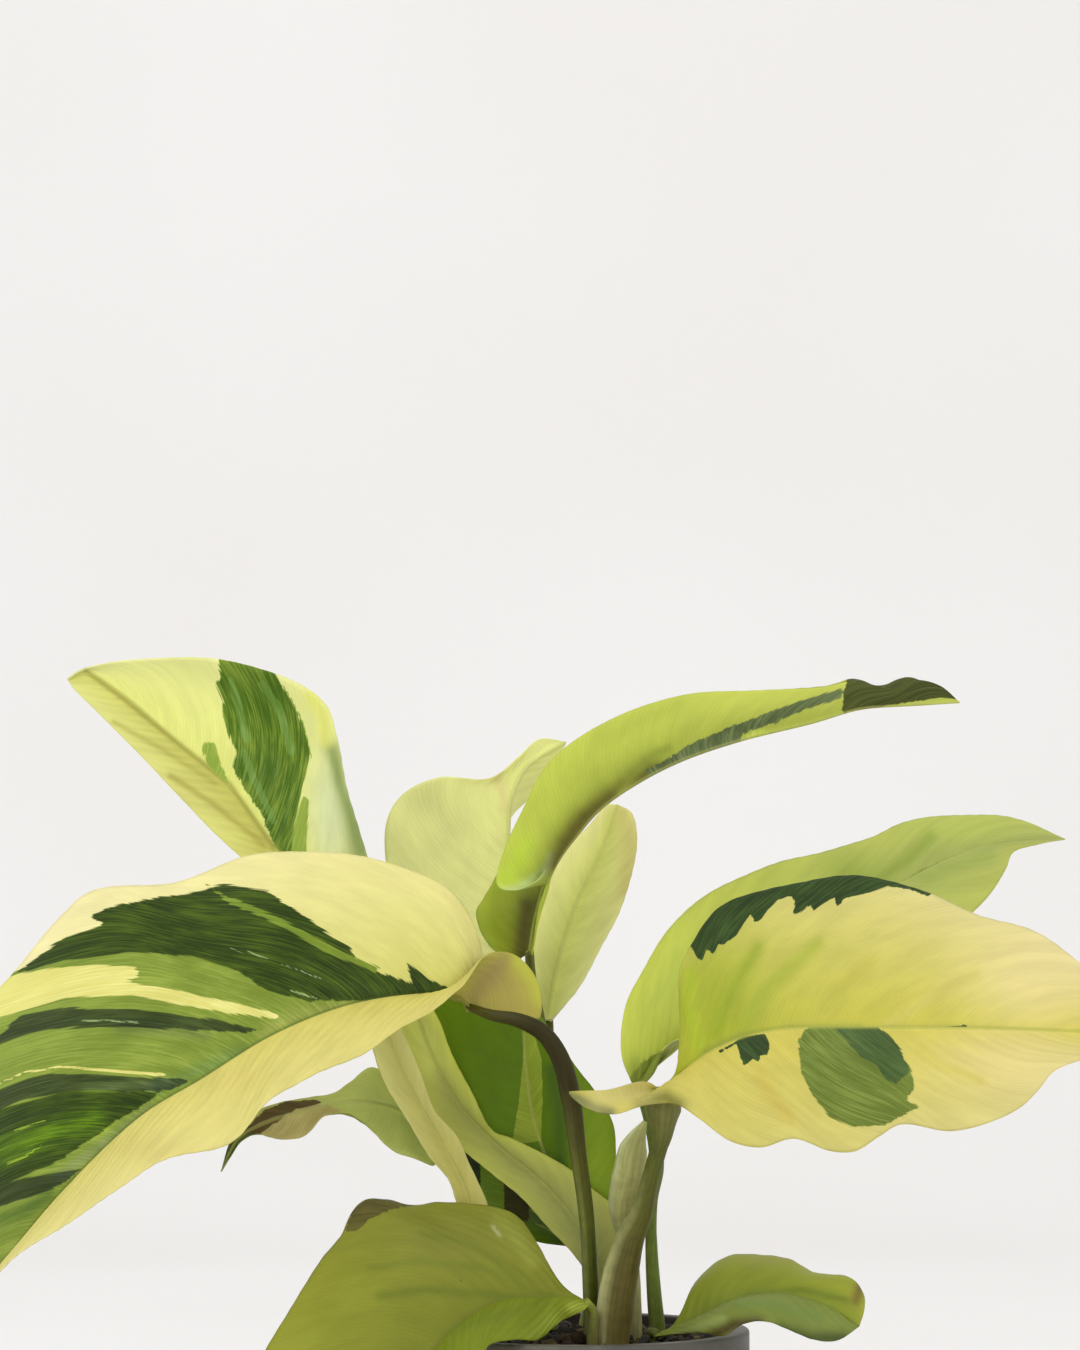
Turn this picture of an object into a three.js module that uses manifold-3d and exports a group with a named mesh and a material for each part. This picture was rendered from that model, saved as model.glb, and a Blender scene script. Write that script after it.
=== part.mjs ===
// A potted calathea with yellow and green variegated leaves, in millimetres, +Z up.
// The origin is the centre of the pot's underside. The plant is seen from -Y, with +X to the right.
import * as THREE from 'three';
import Module from 'manifold-3d';
import { mergeVertices } from 'three/addons/utils/BufferGeometryUtils.js';

const wasm = await Module();
wasm.setup();

// Pot: a plain tapered pot with a rolled rim
const POT_HEIGHT = 105;
const RIM_RADIUS = 60;
const RIM_DEPTH = 9;
const RIM_ROUND = 1.2;
const COLLAR_RADIUS = 56;
const FOOT_RADIUS = 42;
const POT_WALL = 2;
const FLOOR_THICKNESS = 3;
const POT_SIDES = 48;

// Soil: it fills the pot to just under the rim and is mounded round the stems
const FIT_GAP = 0.35;
const SOIL_EDGE = 98;
const SOIL_CROWN = 102;
// Shares of the soil's radius, each with its share of the mound's height
const SOIL_MOUND = [[0.7, 0.35], [0.4, 0.8]];
const HOLE_FLOOR = 84;
const HOLE_SIDES = 12;
const HOLE_CLEARANCE = 0.5;

// Blades: thin sheets with a keel under the midrib
const HALF_THICKNESS = 0.42;
const KEEL_DEPTH = 2;
const KEEL_HALF_WIDTH = 1.6;
const KEEL_MOST_OF_WIDTH = 0.3;
const STUB_CROWN = 0.5;
const LAST_ROW = 0.4;

// Stems: tapered tubes that start in the soil
const STEM_FOOT = 86;
const STEM_STRAIGHT = 104;
const STEM_STEP = 9;
const STEM_SIDES = 8;
const STEM_END_GAP = 0.4;

const CURVE_SAMPLES = 240;
const WELD_DISTANCE = 1e-4;

const BLADE_ROUGHNESS = 0.5;
const STEM_ROUGHNESS = 0.55;
const POT_FINISH = { colour: 0x4a4842, roughness: 0.6 };
const SOIL_FINISH = { colour: 0x2e2013, roughness: 0.95 };

// Each blade is spanned between its midrib and its two margins, all three running from base to tip.
// Left and right are as seen from above with the tip away. crowding draws the rows towards the base,
// lead sets how far each margin runs ahead of the midrib, and puff domes each half upwards.
// A stem's path starts at its foot in the soil and ends under its blade.
const LEAVES = [
  {
    name: 'front_left',
    colour: 0xd8cf74,
    stemColour: 0x565a20,
    rows: 18,
    columns: 5,
    crowding: 1.7,
    lead: [0.57, 0.8],
    puff: [1, 4],
    stub: 1.8,
    rib: [[-37, -20, 216], [-42, -21, 220], [-57, -26, 221], [-80, -36, 217], [-104, -48, 207],
      [-126, -60, 193], [-145, -70, 181], [-168, -82, 158], [-187, -92, 134], [-205, -98, 113]],
    left: [[-31, -18, 226], [-21, -16, 222], [-13, -14, 220], [-15, -12, 228], [-25, -14, 235],
      [-33, -20, 232], [-40, -30, 224], [-50, -46, 215], [-60, -56, 209], [-70, -64, 203],
      [-92, -78, 192], [-101, -84, 187], [-113, -92, 174], [-138, -100, 166],
      [-160, -104, 151], [-186, -103, 133]],
    right: [[-31, -12, 232], [-35, -10, 245], [-45, -8, 257], [-62, -10, 266], [-86, -14, 270],
      [-114, -20, 269], [-141, -28, 259], [-167, -36, 256], [-176, -42, 248], [-190, -52, 229],
      [-206, -62, 209], [-216, -72, 183], [-217, -82, 154], [-213, -92, 129]],
    stem: [[5, -10], [4.5, -12, 119], [3, -17, 145], [0, -20, 167.5], [-2.5, -23, 186],
      [-6, -26, 199], [-12, -28, 207], [-20, -29, 211], [-30, -26, 212.5]],
    radii: [3.4, 2.8, 2.6, 2.8, 3.5, 3.4, 1.1],
  },
  {
    name: 'top_left',
    colour: 0xdfdc8c,
    stemColour: 0x5d6a2a,
    rows: 16,
    columns: 5,
    crowding: 1.3,
    lead: [0.85, 0.85],
    puff: [-2, -7],
    stub: 1.5,
    rib: [[-77, 48, 242], [-90, 52, 257], [-109, 55, 273], [-128, 60, 297], [-148, 63, 314],
      [-169, 65, 332], [-183, 66, 340], [-190, 66, 338]],
    left: [[-85, 54, 239], [-102, 60, 254], [-126, 63, 273], [-140, 68, 286], [-159, 69, 306],
      [-180, 68, 327], [-188, 67, 335]],
    right: [[-69, 36, 251], [-75, 34, 269], [-82, 38, 291], [-88, 44, 314], [-91, 47, 326],
      [-98, 50, 333], [-117, 54, 341], [-134, 58, 345], [-155, 61, 346], [-174, 64, 344],
      [-186, 65, 341]],
    stem: [[-9, 18], [-15, 28, 116], [-22, 36, 142], [-32, 40, 159], [-49, 42, 190], [-66, 44, 221]],
    radii: [2.4, 2.1, 1.9, 2.2, 1.6],
  },
  {
    name: 'back_centre',
    colour: 0xcdd18c,
    stemColour: 0x66702e,
    rows: 12,
    columns: 4,
    crowding: 1.3,
    lead: [0.9, 0.8],
    puff: [0, 3],
    stub: 1.4,
    rib: [[-28, 50, 224], [-27, 56, 244], [-26, 64, 263], [-25, 70, 282], [-24, 74, 293],
      [-18, 80, 306], [-3, 84, 316]],
    left: [[-26, 60, 237], [-25, 70, 256], [-23, 80, 278], [-17, 86, 292], [-10, 87, 305]],
    right: [[-36, 47, 224], [-53, 50, 237], [-65, 56, 250], [-70, 62, 267], [-70, 68, 286],
      [-64, 74, 296], [-51, 76, 302], [-32, 78, 302], [-21, 80, 310], [-13, 83, 317]],
    stem: [[10, 27], [11, 35, 115], [8, 42, 129], [-4, 47, 145], [-16, 50, 172], [-24, 50, 200]],
    radii: [2.4, 2, 1.8, 2, 1.5],
  },
  {
    name: 'arching',
    colour: 0xb9c258,
    stemColour: 0x4d5424,
    rows: 18,
    columns: 5,
    crowding: 1.3,
    lead: [0.85, 0.9],
    puff: [2, -3],
    stub: 1.4,
    rib: [[-17, 10, 235], [-15, 9, 247], [-11, 7, 261], [-7, 5, 269], [-1, 4, 277], [8, 3, 287],
      [21, 2, 296], [37, 1, 304], [58, 0, 311], [83, 0, 317], [101, 0, 322], [116, 0, 323],
      [136, 0, 324]],
    left: [[-22, 13, 233], [-31, 16, 238], [-36, 20, 250], [-33, 22, 256], [-26, 24, 268],
      [-20, 24, 285], [-10, 22, 301], [5, 20, 314], [30, 16, 325], [66, 12, 329], [98, 8, 331],
      [122, 4, 331]],
    right: [[-13, 2, 252], [-10, -3, 265], [-15, -9, 260], [-23, -11, 257], [-28, -10, 259],
      [-27, -8, 271], [-20, -6, 287], [-11, -6, 301], [-1, -6, 310], [15, -6, 319], [29, -6, 324],
      [43, -6, 327], [65, -5, 328], [86, -4, 329], [97, -3, 331], [111, -2, 329], [120, -1, 332],
      [129, 0, 330]],
    stem: [[3, 18], [6, 22, 116], [4, 26, 135], [-6, 31, 165], [-10.5, 32, 194], [-13.5, 28, 213],
      [-16, 19, 226]],
    radii: [2.4, 2.2, 2.1, 2.3, 1.5],
  },
  {
    name: 'small_back',
    colour: 0xb9bd68,
    stemColour: 0x66702e,
    rows: 10,
    columns: 4,
    crowding: 1.2,
    lead: [0.85, 0.85],
    puff: [2, 2],
    stub: 1.3,
    rib: [[-10, 38, 211], [-6, 44, 233], [1, 52, 255], [10, 58, 274], [16, 62, 291]],
    left: [[0, 35, 222], [9, 38, 237], [16, 43, 251], [21, 50, 266], [23, 56, 279], [21, 60, 288]],
    right: [[-17, 42, 224], [-18.5, 50, 241], [-15, 57, 257], [-6, 64, 272], [5, 67, 283],
      [12, 65, 291]],
    stem: [[15, 19], [12, 28, 116], [5, 36, 138], [-4, 44, 165], [-9, 44, 194]],
    radii: [2.4, 2, 1.8, 2, 1.4],
  },
  {
    name: 'back_right',
    colour: 0x9caa4c,
    stemColour: 0x4a5e1c,
    rows: 16,
    columns: 5,
    crowding: 1.4,
    lead: [0.8, 0.8],
    puff: [3, 3],
    stub: 1.5,
    rib: [[21, 6, 188], [25, 9, 193], [41, 17, 208], [70, 33, 233], [104, 45, 253], [123, 52, 263],
      [142, 56, 272], [161, 58, 277], [182, 60, 278]],
    left: [[16, 10, 199], [17, 15, 215], [23, 22, 228], [42, 38, 253], [75, 52, 269],
      [109, 60, 278], [121, 62, 284], [136, 64, 287], [155, 63, 287], [169, 61, 284]],
    right: [[27, 6, 193], [32, 9, 202], [47, 13, 208], [76, 20, 212], [106, 28, 224],
      [129, 38, 237], [146, 46, 251], [153, 50, 258], [159, 53, 267], [162, 55, 273],
      [172, 57, 276]],
    stem: [[28, 1], [27, 0, 115], [26, 0, 132], [26, 0, 149], [28, 1, 161], [26, 3, 175]],
    radii: [3.2, 2.7, 2, 2.6, 1.6],
  },
  {
    name: 'front_right',
    colour: 0xdcd36d,
    stemColour: 0x5c5d22,
    rows: 18,
    columns: 5,
    crowding: 1.7,
    lead: [0.8, 0.62],
    puff: [3, 2],
    stub: 1.8,
    rib: [[29, -34, 188], [38, -37, 197], [47, -41, 203], [65, -49, 209], [94, -57, 210],
      [128, -65, 210], [165, -73, 209], [188, -76, 208]],
    left: [[38, -34, 198], [36, -30, 207], [35, -26, 219], [35, -23, 229], [41, -20, 241],
      [50, -18, 251], [64, -17, 257], [78, -17, 260], [98, -19, 262], [120, -26, 256],
      [136, -32, 249], [154, -42, 243], [169, -54, 231], [181, -68, 219]],
    right: [[23, -41, 191.5], [10, -44, 189], [-6, -46, 187.5], [2, -48, 182.5], [12, -48, 181],
      [24, -46, 184],
      [33, -46, 184], [41, -49, 179], [51, -51, 172], [61, -53, 170], [72, -55, 173], [84, -57, 169],
      [92, -59, 169], [100, -61, 174], [107, -63, 178], [123, -66, 176], [136, -68, 179],
      [146, -70, 184], [152, -71, 190], [157, -72, 196], [170, -74, 201]],
    stem: [[12, -18.5], [13.5, -20, 119], [15.5, -21.5, 129], [18, -23.5, 138], [22, -26, 147],
      [24, -28, 155], [26, -30, 163], [28.5, -32, 173], [29, -33, 180]],
    radii: [5.4, 5.6, 6.4, 6.2, 4.9, 3.2, 2.6, 4.6, 1.6],
  },
  {
    name: 'upright',
    colour: 0x55761a,
    stemColour: 0x55692a,
    rows: 12,
    columns: 4,
    crowding: 1.3,
    lead: [0.85, 0.85],
    puff: [3, 3],
    stub: 1.4,
    rib: [[5, 16, 132], [-6, 18, 152], [-15, 20, 176], [-18, 20, 197], [-20, 18, 217],
      [-24, 15, 226]],
    left: [[-16, 20, 134], [-34, 24, 145], [-49, 28, 163], [-56, 29, 186], [-57, 28, 207],
      [-46, 24, 223]],
    right: [[12, 12, 136], [15, 10, 147], [14, 11, 163], [13, 12, 175], [7, 14, 186],
      [0, 16, 195], [-9, 18, 208], [-17, 17, 219]],
    stem: [[10, 11], [8, 14, 113]],
    radii: [2.4, 2, 1.6],
  },
  {
    name: 'inner',
    colour: 0xa3a955,
    stemColour: 0x6d7632,
    rows: 14,
    columns: 4,
    crowding: 1.3,
    lead: [0.85, 0.85],
    puff: [1, 1],
    stub: 1.4,
    rib: [[10, 2, 114], [5, 4, 132], [-10, 8, 152], [-29, 12, 168], [-43, 14, 183],
      [-52, 12, 201], [-57, 8, 215], [-60, 4, 224]],
    left: [[16, 3, 128], [16, 5, 143], [5, 9, 153], [-2, 12, 159], [-23, 16, 170], [-30, 18, 173],
      [-38, 20, 187], [-45, 18, 201], [-49, 14, 212], [-54, 9, 220]],
    right: [[3, 1, 124], [-3, 1, 132], [-13, 3, 143], [-20, 4, 150], [-30, 6, 158], [-39, 9, 165],
      [-54, 11, 178], [-60, 10, 193], [-63, 8, 206], [-63, 6, 215]],
    stem: [[10, 2]],
    radii: [2.6, 2, 1.6],
  },
  {
    name: 'narrow',
    colour: 0xafa669,
    stemColour: 0x6d7632,
    rows: 12,
    columns: 4,
    crowding: 1.2,
    lead: [0.9, 0.9],
    puff: [1, 1],
    stub: 1.3,
    rib: [[-36, -2, 136], [-40, -1, 153], [-50, 1, 172], [-60, 1, 190], [-66, 0, 205],
      [-70, -2, 218]],
    left: [[-31, 1, 145], [-35, 2, 156], [-38, 3, 162], [-42, 3, 171], [-50, 4, 180],
      [-55, 4, 193], [-60, 3, 205], [-65, 1, 214]],
    right: [[-41, -4, 145], [-45, -5, 157], [-51, -5, 164], [-59, -5, 176], [-67, -5, 190],
      [-71, -5, 200], [-73, -4, 211]],
    stem: [[-12, -4], [-19, -3, 113], [-29, -2, 125]],
    radii: [2.4, 1.9, 1.5],
  },
  {
    name: 'low_left',
    colour: 0x8b9a4f,
    stemColour: 0x6d7632,
    rows: 12,
    columns: 4,
    crowding: 1.2,
    lead: [0.9, 0.85],
    puff: [1, 1],
    stub: 1.3,
    rib: [[-54, 9, 175], [-66, 8, 181], [-80, 3, 183], [-93, -4, 180], [-107, -10, 177],
      [-117, -16, 171], [-123, -20, 160]],
    left: [[-60, 14, 187], [-73, 16, 195], [-80, 13, 190], [-86, 9, 186], [-94, 4, 185],
      [-105, -2, 183], [-114, -8, 179], [-120, -15, 171]],
    right: [[-55, 4, 166], [-63, 2, 165], [-74, -1, 175], [-80, -4, 179], [-88, -8, 179],
      [-95, -10, 172], [-104, -14, 171], [-111, -16, 173], [-116, -18, 171], [-120, -19, 165]],
    stem: [[-14, 6], [-20, 8, 114], [-29, 10, 127], [-38, 12, 146], [-46, 12, 161]],
    radii: [2.4, 2, 1.8, 1.5],
  },
  {
    name: 'rim_left',
    colour: 0x86933a,
    stemColour: 0x6f7a34,
    rows: 16,
    columns: 5,
    crowding: 1.3,
    lead: [0.85, 0.75],
    puff: [2, 5],
    stub: 1.4,
    rib: [[3, -27, 116], [1, -29, 118], [-10, -36, 119], [-26, -48, 119], [-42, -64, 111],
      [-51, -74, 100], [-63, -88, 86], [-77, -99, 69], [-89, -104, 55]],
    left: [[2, -30, 114], [-6, -38, 111], [-13, -48, 106], [-22, -60, 107], [-30, -70, 106],
      [-33, -84, 94], [-42, -96, 79], [-57, -104, 66], [-75, -106, 57]],
    right: [[-0.5, -26, 117], [-5.5, -24, 116], [-9.5, -22, 118.5], [-12, -17, 126],
      [-13.5, -13, 133], [-16.5, -10, 140], [-23, -9, 145], [-34, -10, 148], [-48, -16, 150], [-57, -22, 149], [-66, -28, 151],
      [-73, -33, 151], [-77, -38, 147], [-80, -46, 140], [-86, -56, 133], [-92, -65, 124],
      [-97, -73, 115], [-103, -81, 104], [-108, -90, 91], [-107, -98, 76], [-99, -103, 61]],
    stem: [[5, -25], [5, -25, 108], [5, -25.5, 113]],
    radii: [2.4, 2.2, 1.6],
  },
  {
    name: 'rim_right',
    colour: 0x7f8c34,
    stemColour: 0x6f7a34,
    rows: 12,
    columns: 4,
    crowding: 1.3,
    lead: [0.85, 0.85],
    puff: [3, 3],
    stub: 1.3,
    rib: [[26, -14, 106], [38, -22, 110], [52, -29, 117], [68, -34, 120], [84, -36, 116],
      [95, -36, 109]],
    left: [[31, -13, 109], [38, -12, 113], [42, -10, 121], [53, -10, 129], [63, -12, 131],
      [73, -16, 130], [81, -22, 126], [93, -28, 125], [97, -32, 120], [97, -35, 115]],
    right: [[34, -25, 107], [43, -38, 107], [49, -46, 107], [55, -48, 111], [62, -50, 112],
      [71, -50, 109], [79, -47, 106], [87, -42, 105]],
    stem: [[25, -11.5]],
    radii: [2.4, 2, 1.5],
  },
];

// The youngest leaf, still rolled into a spear
const SPEAR = {
  name: 'rolled_leaf',
  colour: 0x8a9242,
  path: [[20, -3, STEM_FOOT], [20, -3, 98], [20, -3, STEM_STRAIGHT], [19, -6, 126], [16, -9, 141],
    [16, -11, 150], [18, -12, 158], [19, -13, 166], [20.5, -13, 171], [23.5, -12, 177]],
  radii: [3, 2.8, 2.6, 2.5, 2.6, 2.8, 5, 6, 3.4, 0.5],
};

const vector = ([x, y, z]) => new THREE.Vector3(x, y, z);

// A smooth curve through the points, read by its share of the length
function curveThrough(points) {
  const curve = new THREE.CatmullRomCurve3(points.map(vector), false, 'centripetal');
  curve.arcLengthDivisions = CURVE_SAMPLES;
  return curve;
}

function readAlong(values, share) {
  const place = share * (values.length - 1);
  const first = Math.min(Math.floor(place), values.length - 2);
  return THREE.MathUtils.lerp(values[first], values[first + 1], place - first);
}

function geometryOf(positions, triangles) {
  const geometry = new THREE.BufferGeometry();
  const values = positions.flatMap((point) => point.toArray());
  geometry.setAttribute('position', new THREE.Float32BufferAttribute(values, 3));
  geometry.setIndex(triangles);
  return geometry;
}

// Closes a stack of equal rings with a fan at the start and a point at the end
function closedRings(rings, start, tip) {
  const size = rings[0].length;
  const positions = [...rings.flat(), start, tip];
  const startIndex = positions.length - 2;
  const tipIndex = positions.length - 1;
  const lastRing = (rings.length - 1) * size;
  const triangles = [];
  for (let k = 0; k < size; k += 1) {
    const next = (k + 1) % size;
    triangles.push(startIndex, next, k);
    triangles.push(tipIndex, lastRing + k, lastRing + next);
  }
  return { positions, triangles, size };
}

// The blade's middle surface: one row of points from the left margin over the rib to the right margin
function bladeRow(leaf, curves, share) {
  const ribShare = share ** leaf.crowding;
  const rib = curves.rib.getPointAt(ribShare);
  const tangent = curves.rib.getTangentAt(ribShare);
  const row = [rib];
  [curves.left, curves.right].forEach((margin, side) => {
    const edge = margin.getPointAt(ribShare ** leaf.lead[side]);
    const across = edge.clone().sub(rib);
    const width = across.length();
    const normal = side === 0 ? tangent.clone().cross(across) : across.clone().cross(tangent);
    normal.normalize().multiplyScalar(leaf.puff[side] * Math.sin(Math.PI * share));
    const foot = Math.min(KEEL_HALF_WIDTH / width, KEEL_MOST_OF_WIDTH);
    for (let column = 1; column <= leaf.columns; column += 1) {
      const v = foot + ((1 - foot) * (column - 1)) / (leaf.columns - 1);
      const point = rib.clone().addScaledVector(across, v);
      point.addScaledVector(normal, Math.sin(Math.PI * v));
      if (side === 0) {
        row.unshift(point);
      } else {
        row.push(point);
      }
    }
  });
  return row;
}

// Direction from the rib to the left margin at the blade's base, square to the rib
function baseSide(curves) {
  const tangent = curves.rib.getTangentAt(0);
  const across = curves.left.getPointAt(0.5).sub(curves.rib.getPointAt(0.5));
  return across.addScaledVector(tangent, -across.dot(tangent)).normalize();
}

function bladeCurves(leaf) {
  const base = leaf.rib[0];
  const tip = leaf.rib[leaf.rib.length - 1];
  const rib = curveThrough(leaf.rib);
  const side = baseSide({ rib, left: curveThrough([base, ...leaf.left, tip]) });
  const start = (sign) => vector(base).addScaledVector(side, sign * leaf.stub).toArray();
  return {
    rib,
    side,
    left: curveThrough([start(1), ...leaf.left, tip]),
    right: curveThrough([start(-1), ...leaf.right, tip]),
  };
}

// Normals of the middle surface, from the faces round each point
function rowNormals(rows) {
  const normals = rows.map((row) => row.map(() => new THREE.Vector3()));
  for (let i = 0; i + 1 < rows.length; i += 1) {
    for (let j = 0; j + 1 < rows[i].length; j += 1) {
      const first = rows[i + 1][j + 1].clone().sub(rows[i][j]);
      const second = rows[i + 1][j].clone().sub(rows[i][j + 1]);
      const normal = first.cross(second);
      [[i, j], [i + 1, j], [i, j + 1], [i + 1, j + 1]].forEach(([a, b]) => normals[a][b].add(normal));
    }
  }
  normals.flat().forEach((normal) => normal.normalize());
  return normals;
}

function bladeGeometry(leaf) {
  const curves = bladeCurves(leaf);
  const shares = Array.from({ length: leaf.rows }, (_, i) => i / leaf.rows);
  shares.push(1 - LAST_ROW / leaf.rows);
  const rows = shares.map((share) => bladeRow(leaf, curves, share));
  const normals = rowNormals(rows);
  const baseNormal = curves.rib.getTangentAt(0).cross(curves.side).normalize();
  normals[0].forEach((normal) => normal.copy(baseNormal));
  // Whether the faces' normals point to the blade's upper side
  const towardsLeft = curves.left.getPointAt(0.5).sub(curves.rib.getPointAt(0.5));
  const upwards = curves.rib.getTangentAt(0.5).cross(towardsLeft);
  const facing = Math.sign(normals[Math.floor(rows.length / 2)][leaf.columns].dot(upwards));
  const rings = rows.map((row, i) => {
    const left = 1 - shares[i];
    const up = i === 0 ? 1 : facing;
    const upper = row.map((point, j) => {
      const crown = j === leaf.columns ? STUB_CROWN * left ** 4 : 0;
      return point.clone().addScaledVector(normals[i][j], up * (HALF_THICKNESS + crown));
    });
    const under = row.map((point, j) => {
      const keel = j === leaf.columns ? KEEL_DEPTH * left : 0;
      return point.clone().addScaledVector(normals[i][j], -up * (HALF_THICKNESS + keel));
    });
    return [...upper, ...under.reverse()];
  });
  const stack = closedRings(rings, curves.rib.getPointAt(0), curves.rib.getPointAt(1));
  const { size, triangles } = stack;
  for (let i = 0; i + 1 < rings.length; i += 1) {
    for (let k = 0; k < size; k += 1) {
      const next = (k + 1) % size;
      const here = i * size;
      const there = here + size;
      // The upper face and the under face are split along the same diagonals
      if (k < size / 2) {
        triangles.push(here + k, here + next, there + k, here + next, there + next, there + k);
      } else {
        triangles.push(here + k, here + next, there + next, here + k, there + next, there + k);
      }
    }
  }
  return geometryOf(stack.positions, triangles);
}

// A tube of changing radius along a path, whose last ring may face a given way
function tubeGeometry(path, radii, sides, step, endFacing) {
  const curve = curveThrough(path);
  const count = Math.max(3, Math.round(curve.getLength() / step));
  const rings = [];
  let across = new THREE.Vector3(1, 0, 0);
  for (let i = 0; i <= count; i += 1) {
    const share = i / count;
    const centre = curve.getPointAt(share);
    const tangent = i === count && endFacing ? endFacing : curve.getTangentAt(share);
    across = across.clone().addScaledVector(tangent, -across.dot(tangent)).normalize();
    const along = tangent.clone().cross(across);
    const radius = readAlong(radii, share);
    rings.push(Array.from({ length: sides }, (_, k) => {
      const angle = (2 * Math.PI * k) / sides;
      return centre.clone().addScaledVector(across, radius * Math.cos(angle))
        .addScaledVector(along, radius * Math.sin(angle));
    }));
  }
  const stack = closedRings(rings, curve.getPointAt(0), curve.getPointAt(1));
  const { size, triangles } = stack;
  for (let i = 0; i + 1 < rings.length; i += 1) {
    for (let k = 0; k < size; k += 1) {
      const next = (k + 1) % size;
      const here = i * size;
      const there = here + size;
      triangles.push(here + k, here + next, there + next, here + k, there + next, there + k);
    }
  }
  return geometryOf(stack.positions, triangles);
}

function stemGeometry(leaf) {
  const rib = curveThrough(leaf.rib);
  const facing = rib.getTangentAt(0);
  const end = rib.getPointAt(0).addScaledVector(facing, -STEM_END_GAP).toArray();
  const [[x, y], ...free] = leaf.stem;
  const path = [[x, y, STEM_FOOT], [x, y, (STEM_FOOT + STEM_STRAIGHT) / 2], [x, y, STEM_STRAIGHT]];
  return tubeGeometry([...path, ...free, end], leaf.radii, STEM_SIDES, STEM_STEP, facing);
}

function solidOf(geometry) {
  const bare = geometry.clone();
  bare.deleteAttribute('normal');
  bare.deleteAttribute('uv');
  const merged = mergeVertices(bare, WELD_DISTANCE);
  return new wasm.Manifold(new wasm.Mesh({
    numProp: 3,
    vertProperties: new Float32Array(merged.attributes.position.array),
    triVerts: new Uint32Array(merged.index.array),
  }));
}

function geometryOfSolid(solid) {
  const mesh = solid.getMesh();
  const geometry = new THREE.BufferGeometry();
  geometry.setAttribute('position', new THREE.BufferAttribute(mesh.vertProperties, mesh.numProp));
  geometry.setIndex(new THREE.BufferAttribute(mesh.triVerts, 1));
  return geometry;
}

// Turns a profile of radius and height round the pot's axis
function turned(profile, sides) {
  const geometry = new THREE.LatheGeometry(profile.map(([r, z]) => new THREE.Vector2(r, z)), sides);
  geometry.rotateX(Math.PI / 2);
  return geometry;
}

// Inner radius of the pot's wall at a height
function potInside(height) {
  const share = (height - FLOOR_THICKNESS) / (POT_HEIGHT - FLOOR_THICKNESS);
  return THREE.MathUtils.lerp(FOOT_RADIUS, COLLAR_RADIUS, share) - POT_WALL;
}

function potGeometry() {
  const collar = POT_HEIGHT - RIM_DEPTH;
  const profile = [
    [0, 0],
    [FOOT_RADIUS - RIM_ROUND, 0],
    [FOOT_RADIUS, RIM_ROUND],
    [COLLAR_RADIUS, collar],
    [RIM_RADIUS - RIM_ROUND, collar],
    [RIM_RADIUS, collar + RIM_ROUND],
    [RIM_RADIUS, POT_HEIGHT - RIM_ROUND],
    [RIM_RADIUS - RIM_ROUND, POT_HEIGHT],
    [potInside(POT_HEIGHT) + RIM_ROUND, POT_HEIGHT],
    [potInside(POT_HEIGHT), POT_HEIGHT - RIM_ROUND],
    [potInside(FLOOR_THICKNESS), FLOOR_THICKNESS],
    [0, FLOOR_THICKNESS],
  ];
  return turned(profile, POT_SIDES);
}

function soilGeometry() {
  const floor = FLOOR_THICKNESS + FIT_GAP;
  const edge = potInside(SOIL_EDGE) - FIT_GAP;
  const mound = SOIL_MOUND.map(([radius, rise]) => (
    [edge * radius, THREE.MathUtils.lerp(SOIL_EDGE, SOIL_CROWN, rise)]
  ));
  const profile = [
    [0, floor],
    [potInside(floor) - FIT_GAP, floor],
    [edge, SOIL_EDGE],
    ...mound,
    [0, SOIL_CROWN],
  ];
  const holes = LEAVES.map((leaf) => [...leaf.stem[0], leaf.radii[0]]);
  holes.push([SPEAR.path[0][0], SPEAR.path[0][1], SPEAR.radii[0]]);
  let soil = solidOf(turned(profile, POT_SIDES));
  holes.forEach(([x, y, radius]) => {
    const reach = (radius + HOLE_CLEARANCE) / Math.cos(Math.PI / HOLE_SIDES);
    const hole = new THREE.CylinderGeometry(reach, reach, POT_HEIGHT - HOLE_FLOOR, HOLE_SIDES);
    hole.rotateX(Math.PI / 2);
    hole.translate(x, y, (POT_HEIGHT + HOLE_FLOOR) / 2);
    soil = soil.subtract(solidOf(hole));
  });
  return geometryOfSolid(soil);
}

const plant = new THREE.Group();

function add(name, geometry, { colour, roughness }) {
  const material = new THREE.MeshStandardMaterial({ color: colour, roughness, metalness: 0 });
  const mesh = new THREE.Mesh(geometry, material);
  mesh.name = name;
  plant.add(mesh);
}

add('pot', potGeometry(), POT_FINISH);
add('soil', soilGeometry(), SOIL_FINISH);
LEAVES.forEach((leaf) => {
  const bladeFinish = { colour: leaf.colour, roughness: BLADE_ROUGHNESS };
  const stemFinish = { colour: leaf.stemColour, roughness: STEM_ROUGHNESS };
  add(`${leaf.name}_blade`, bladeGeometry(leaf), bladeFinish);
  add(`${leaf.name}_stem`, stemGeometry(leaf), stemFinish);
});
const spearFinish = { colour: SPEAR.colour, roughness: BLADE_ROUGHNESS };
add(SPEAR.name, tubeGeometry(SPEAR.path, SPEAR.radii, STEM_SIDES, STEM_STEP), spearFinish);

export default plant;
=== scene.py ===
import functools
import math

import bpy
import numpy as np
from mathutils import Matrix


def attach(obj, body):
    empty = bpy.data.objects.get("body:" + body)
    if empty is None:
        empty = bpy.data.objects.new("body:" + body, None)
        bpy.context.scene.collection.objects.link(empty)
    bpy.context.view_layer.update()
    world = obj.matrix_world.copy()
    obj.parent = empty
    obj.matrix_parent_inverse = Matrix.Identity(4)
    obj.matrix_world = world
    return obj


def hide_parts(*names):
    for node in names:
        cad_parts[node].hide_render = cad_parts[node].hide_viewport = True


# The dressed plant: fine blades with veins and markings, stalks, potting mix and a plain pot.
# Lengths are millimetres in the model's frame, unless a comment says metres. Markings are given in
# the pixels of the photograph's frame, and are laid onto each blade as the camera sees it.

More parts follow.
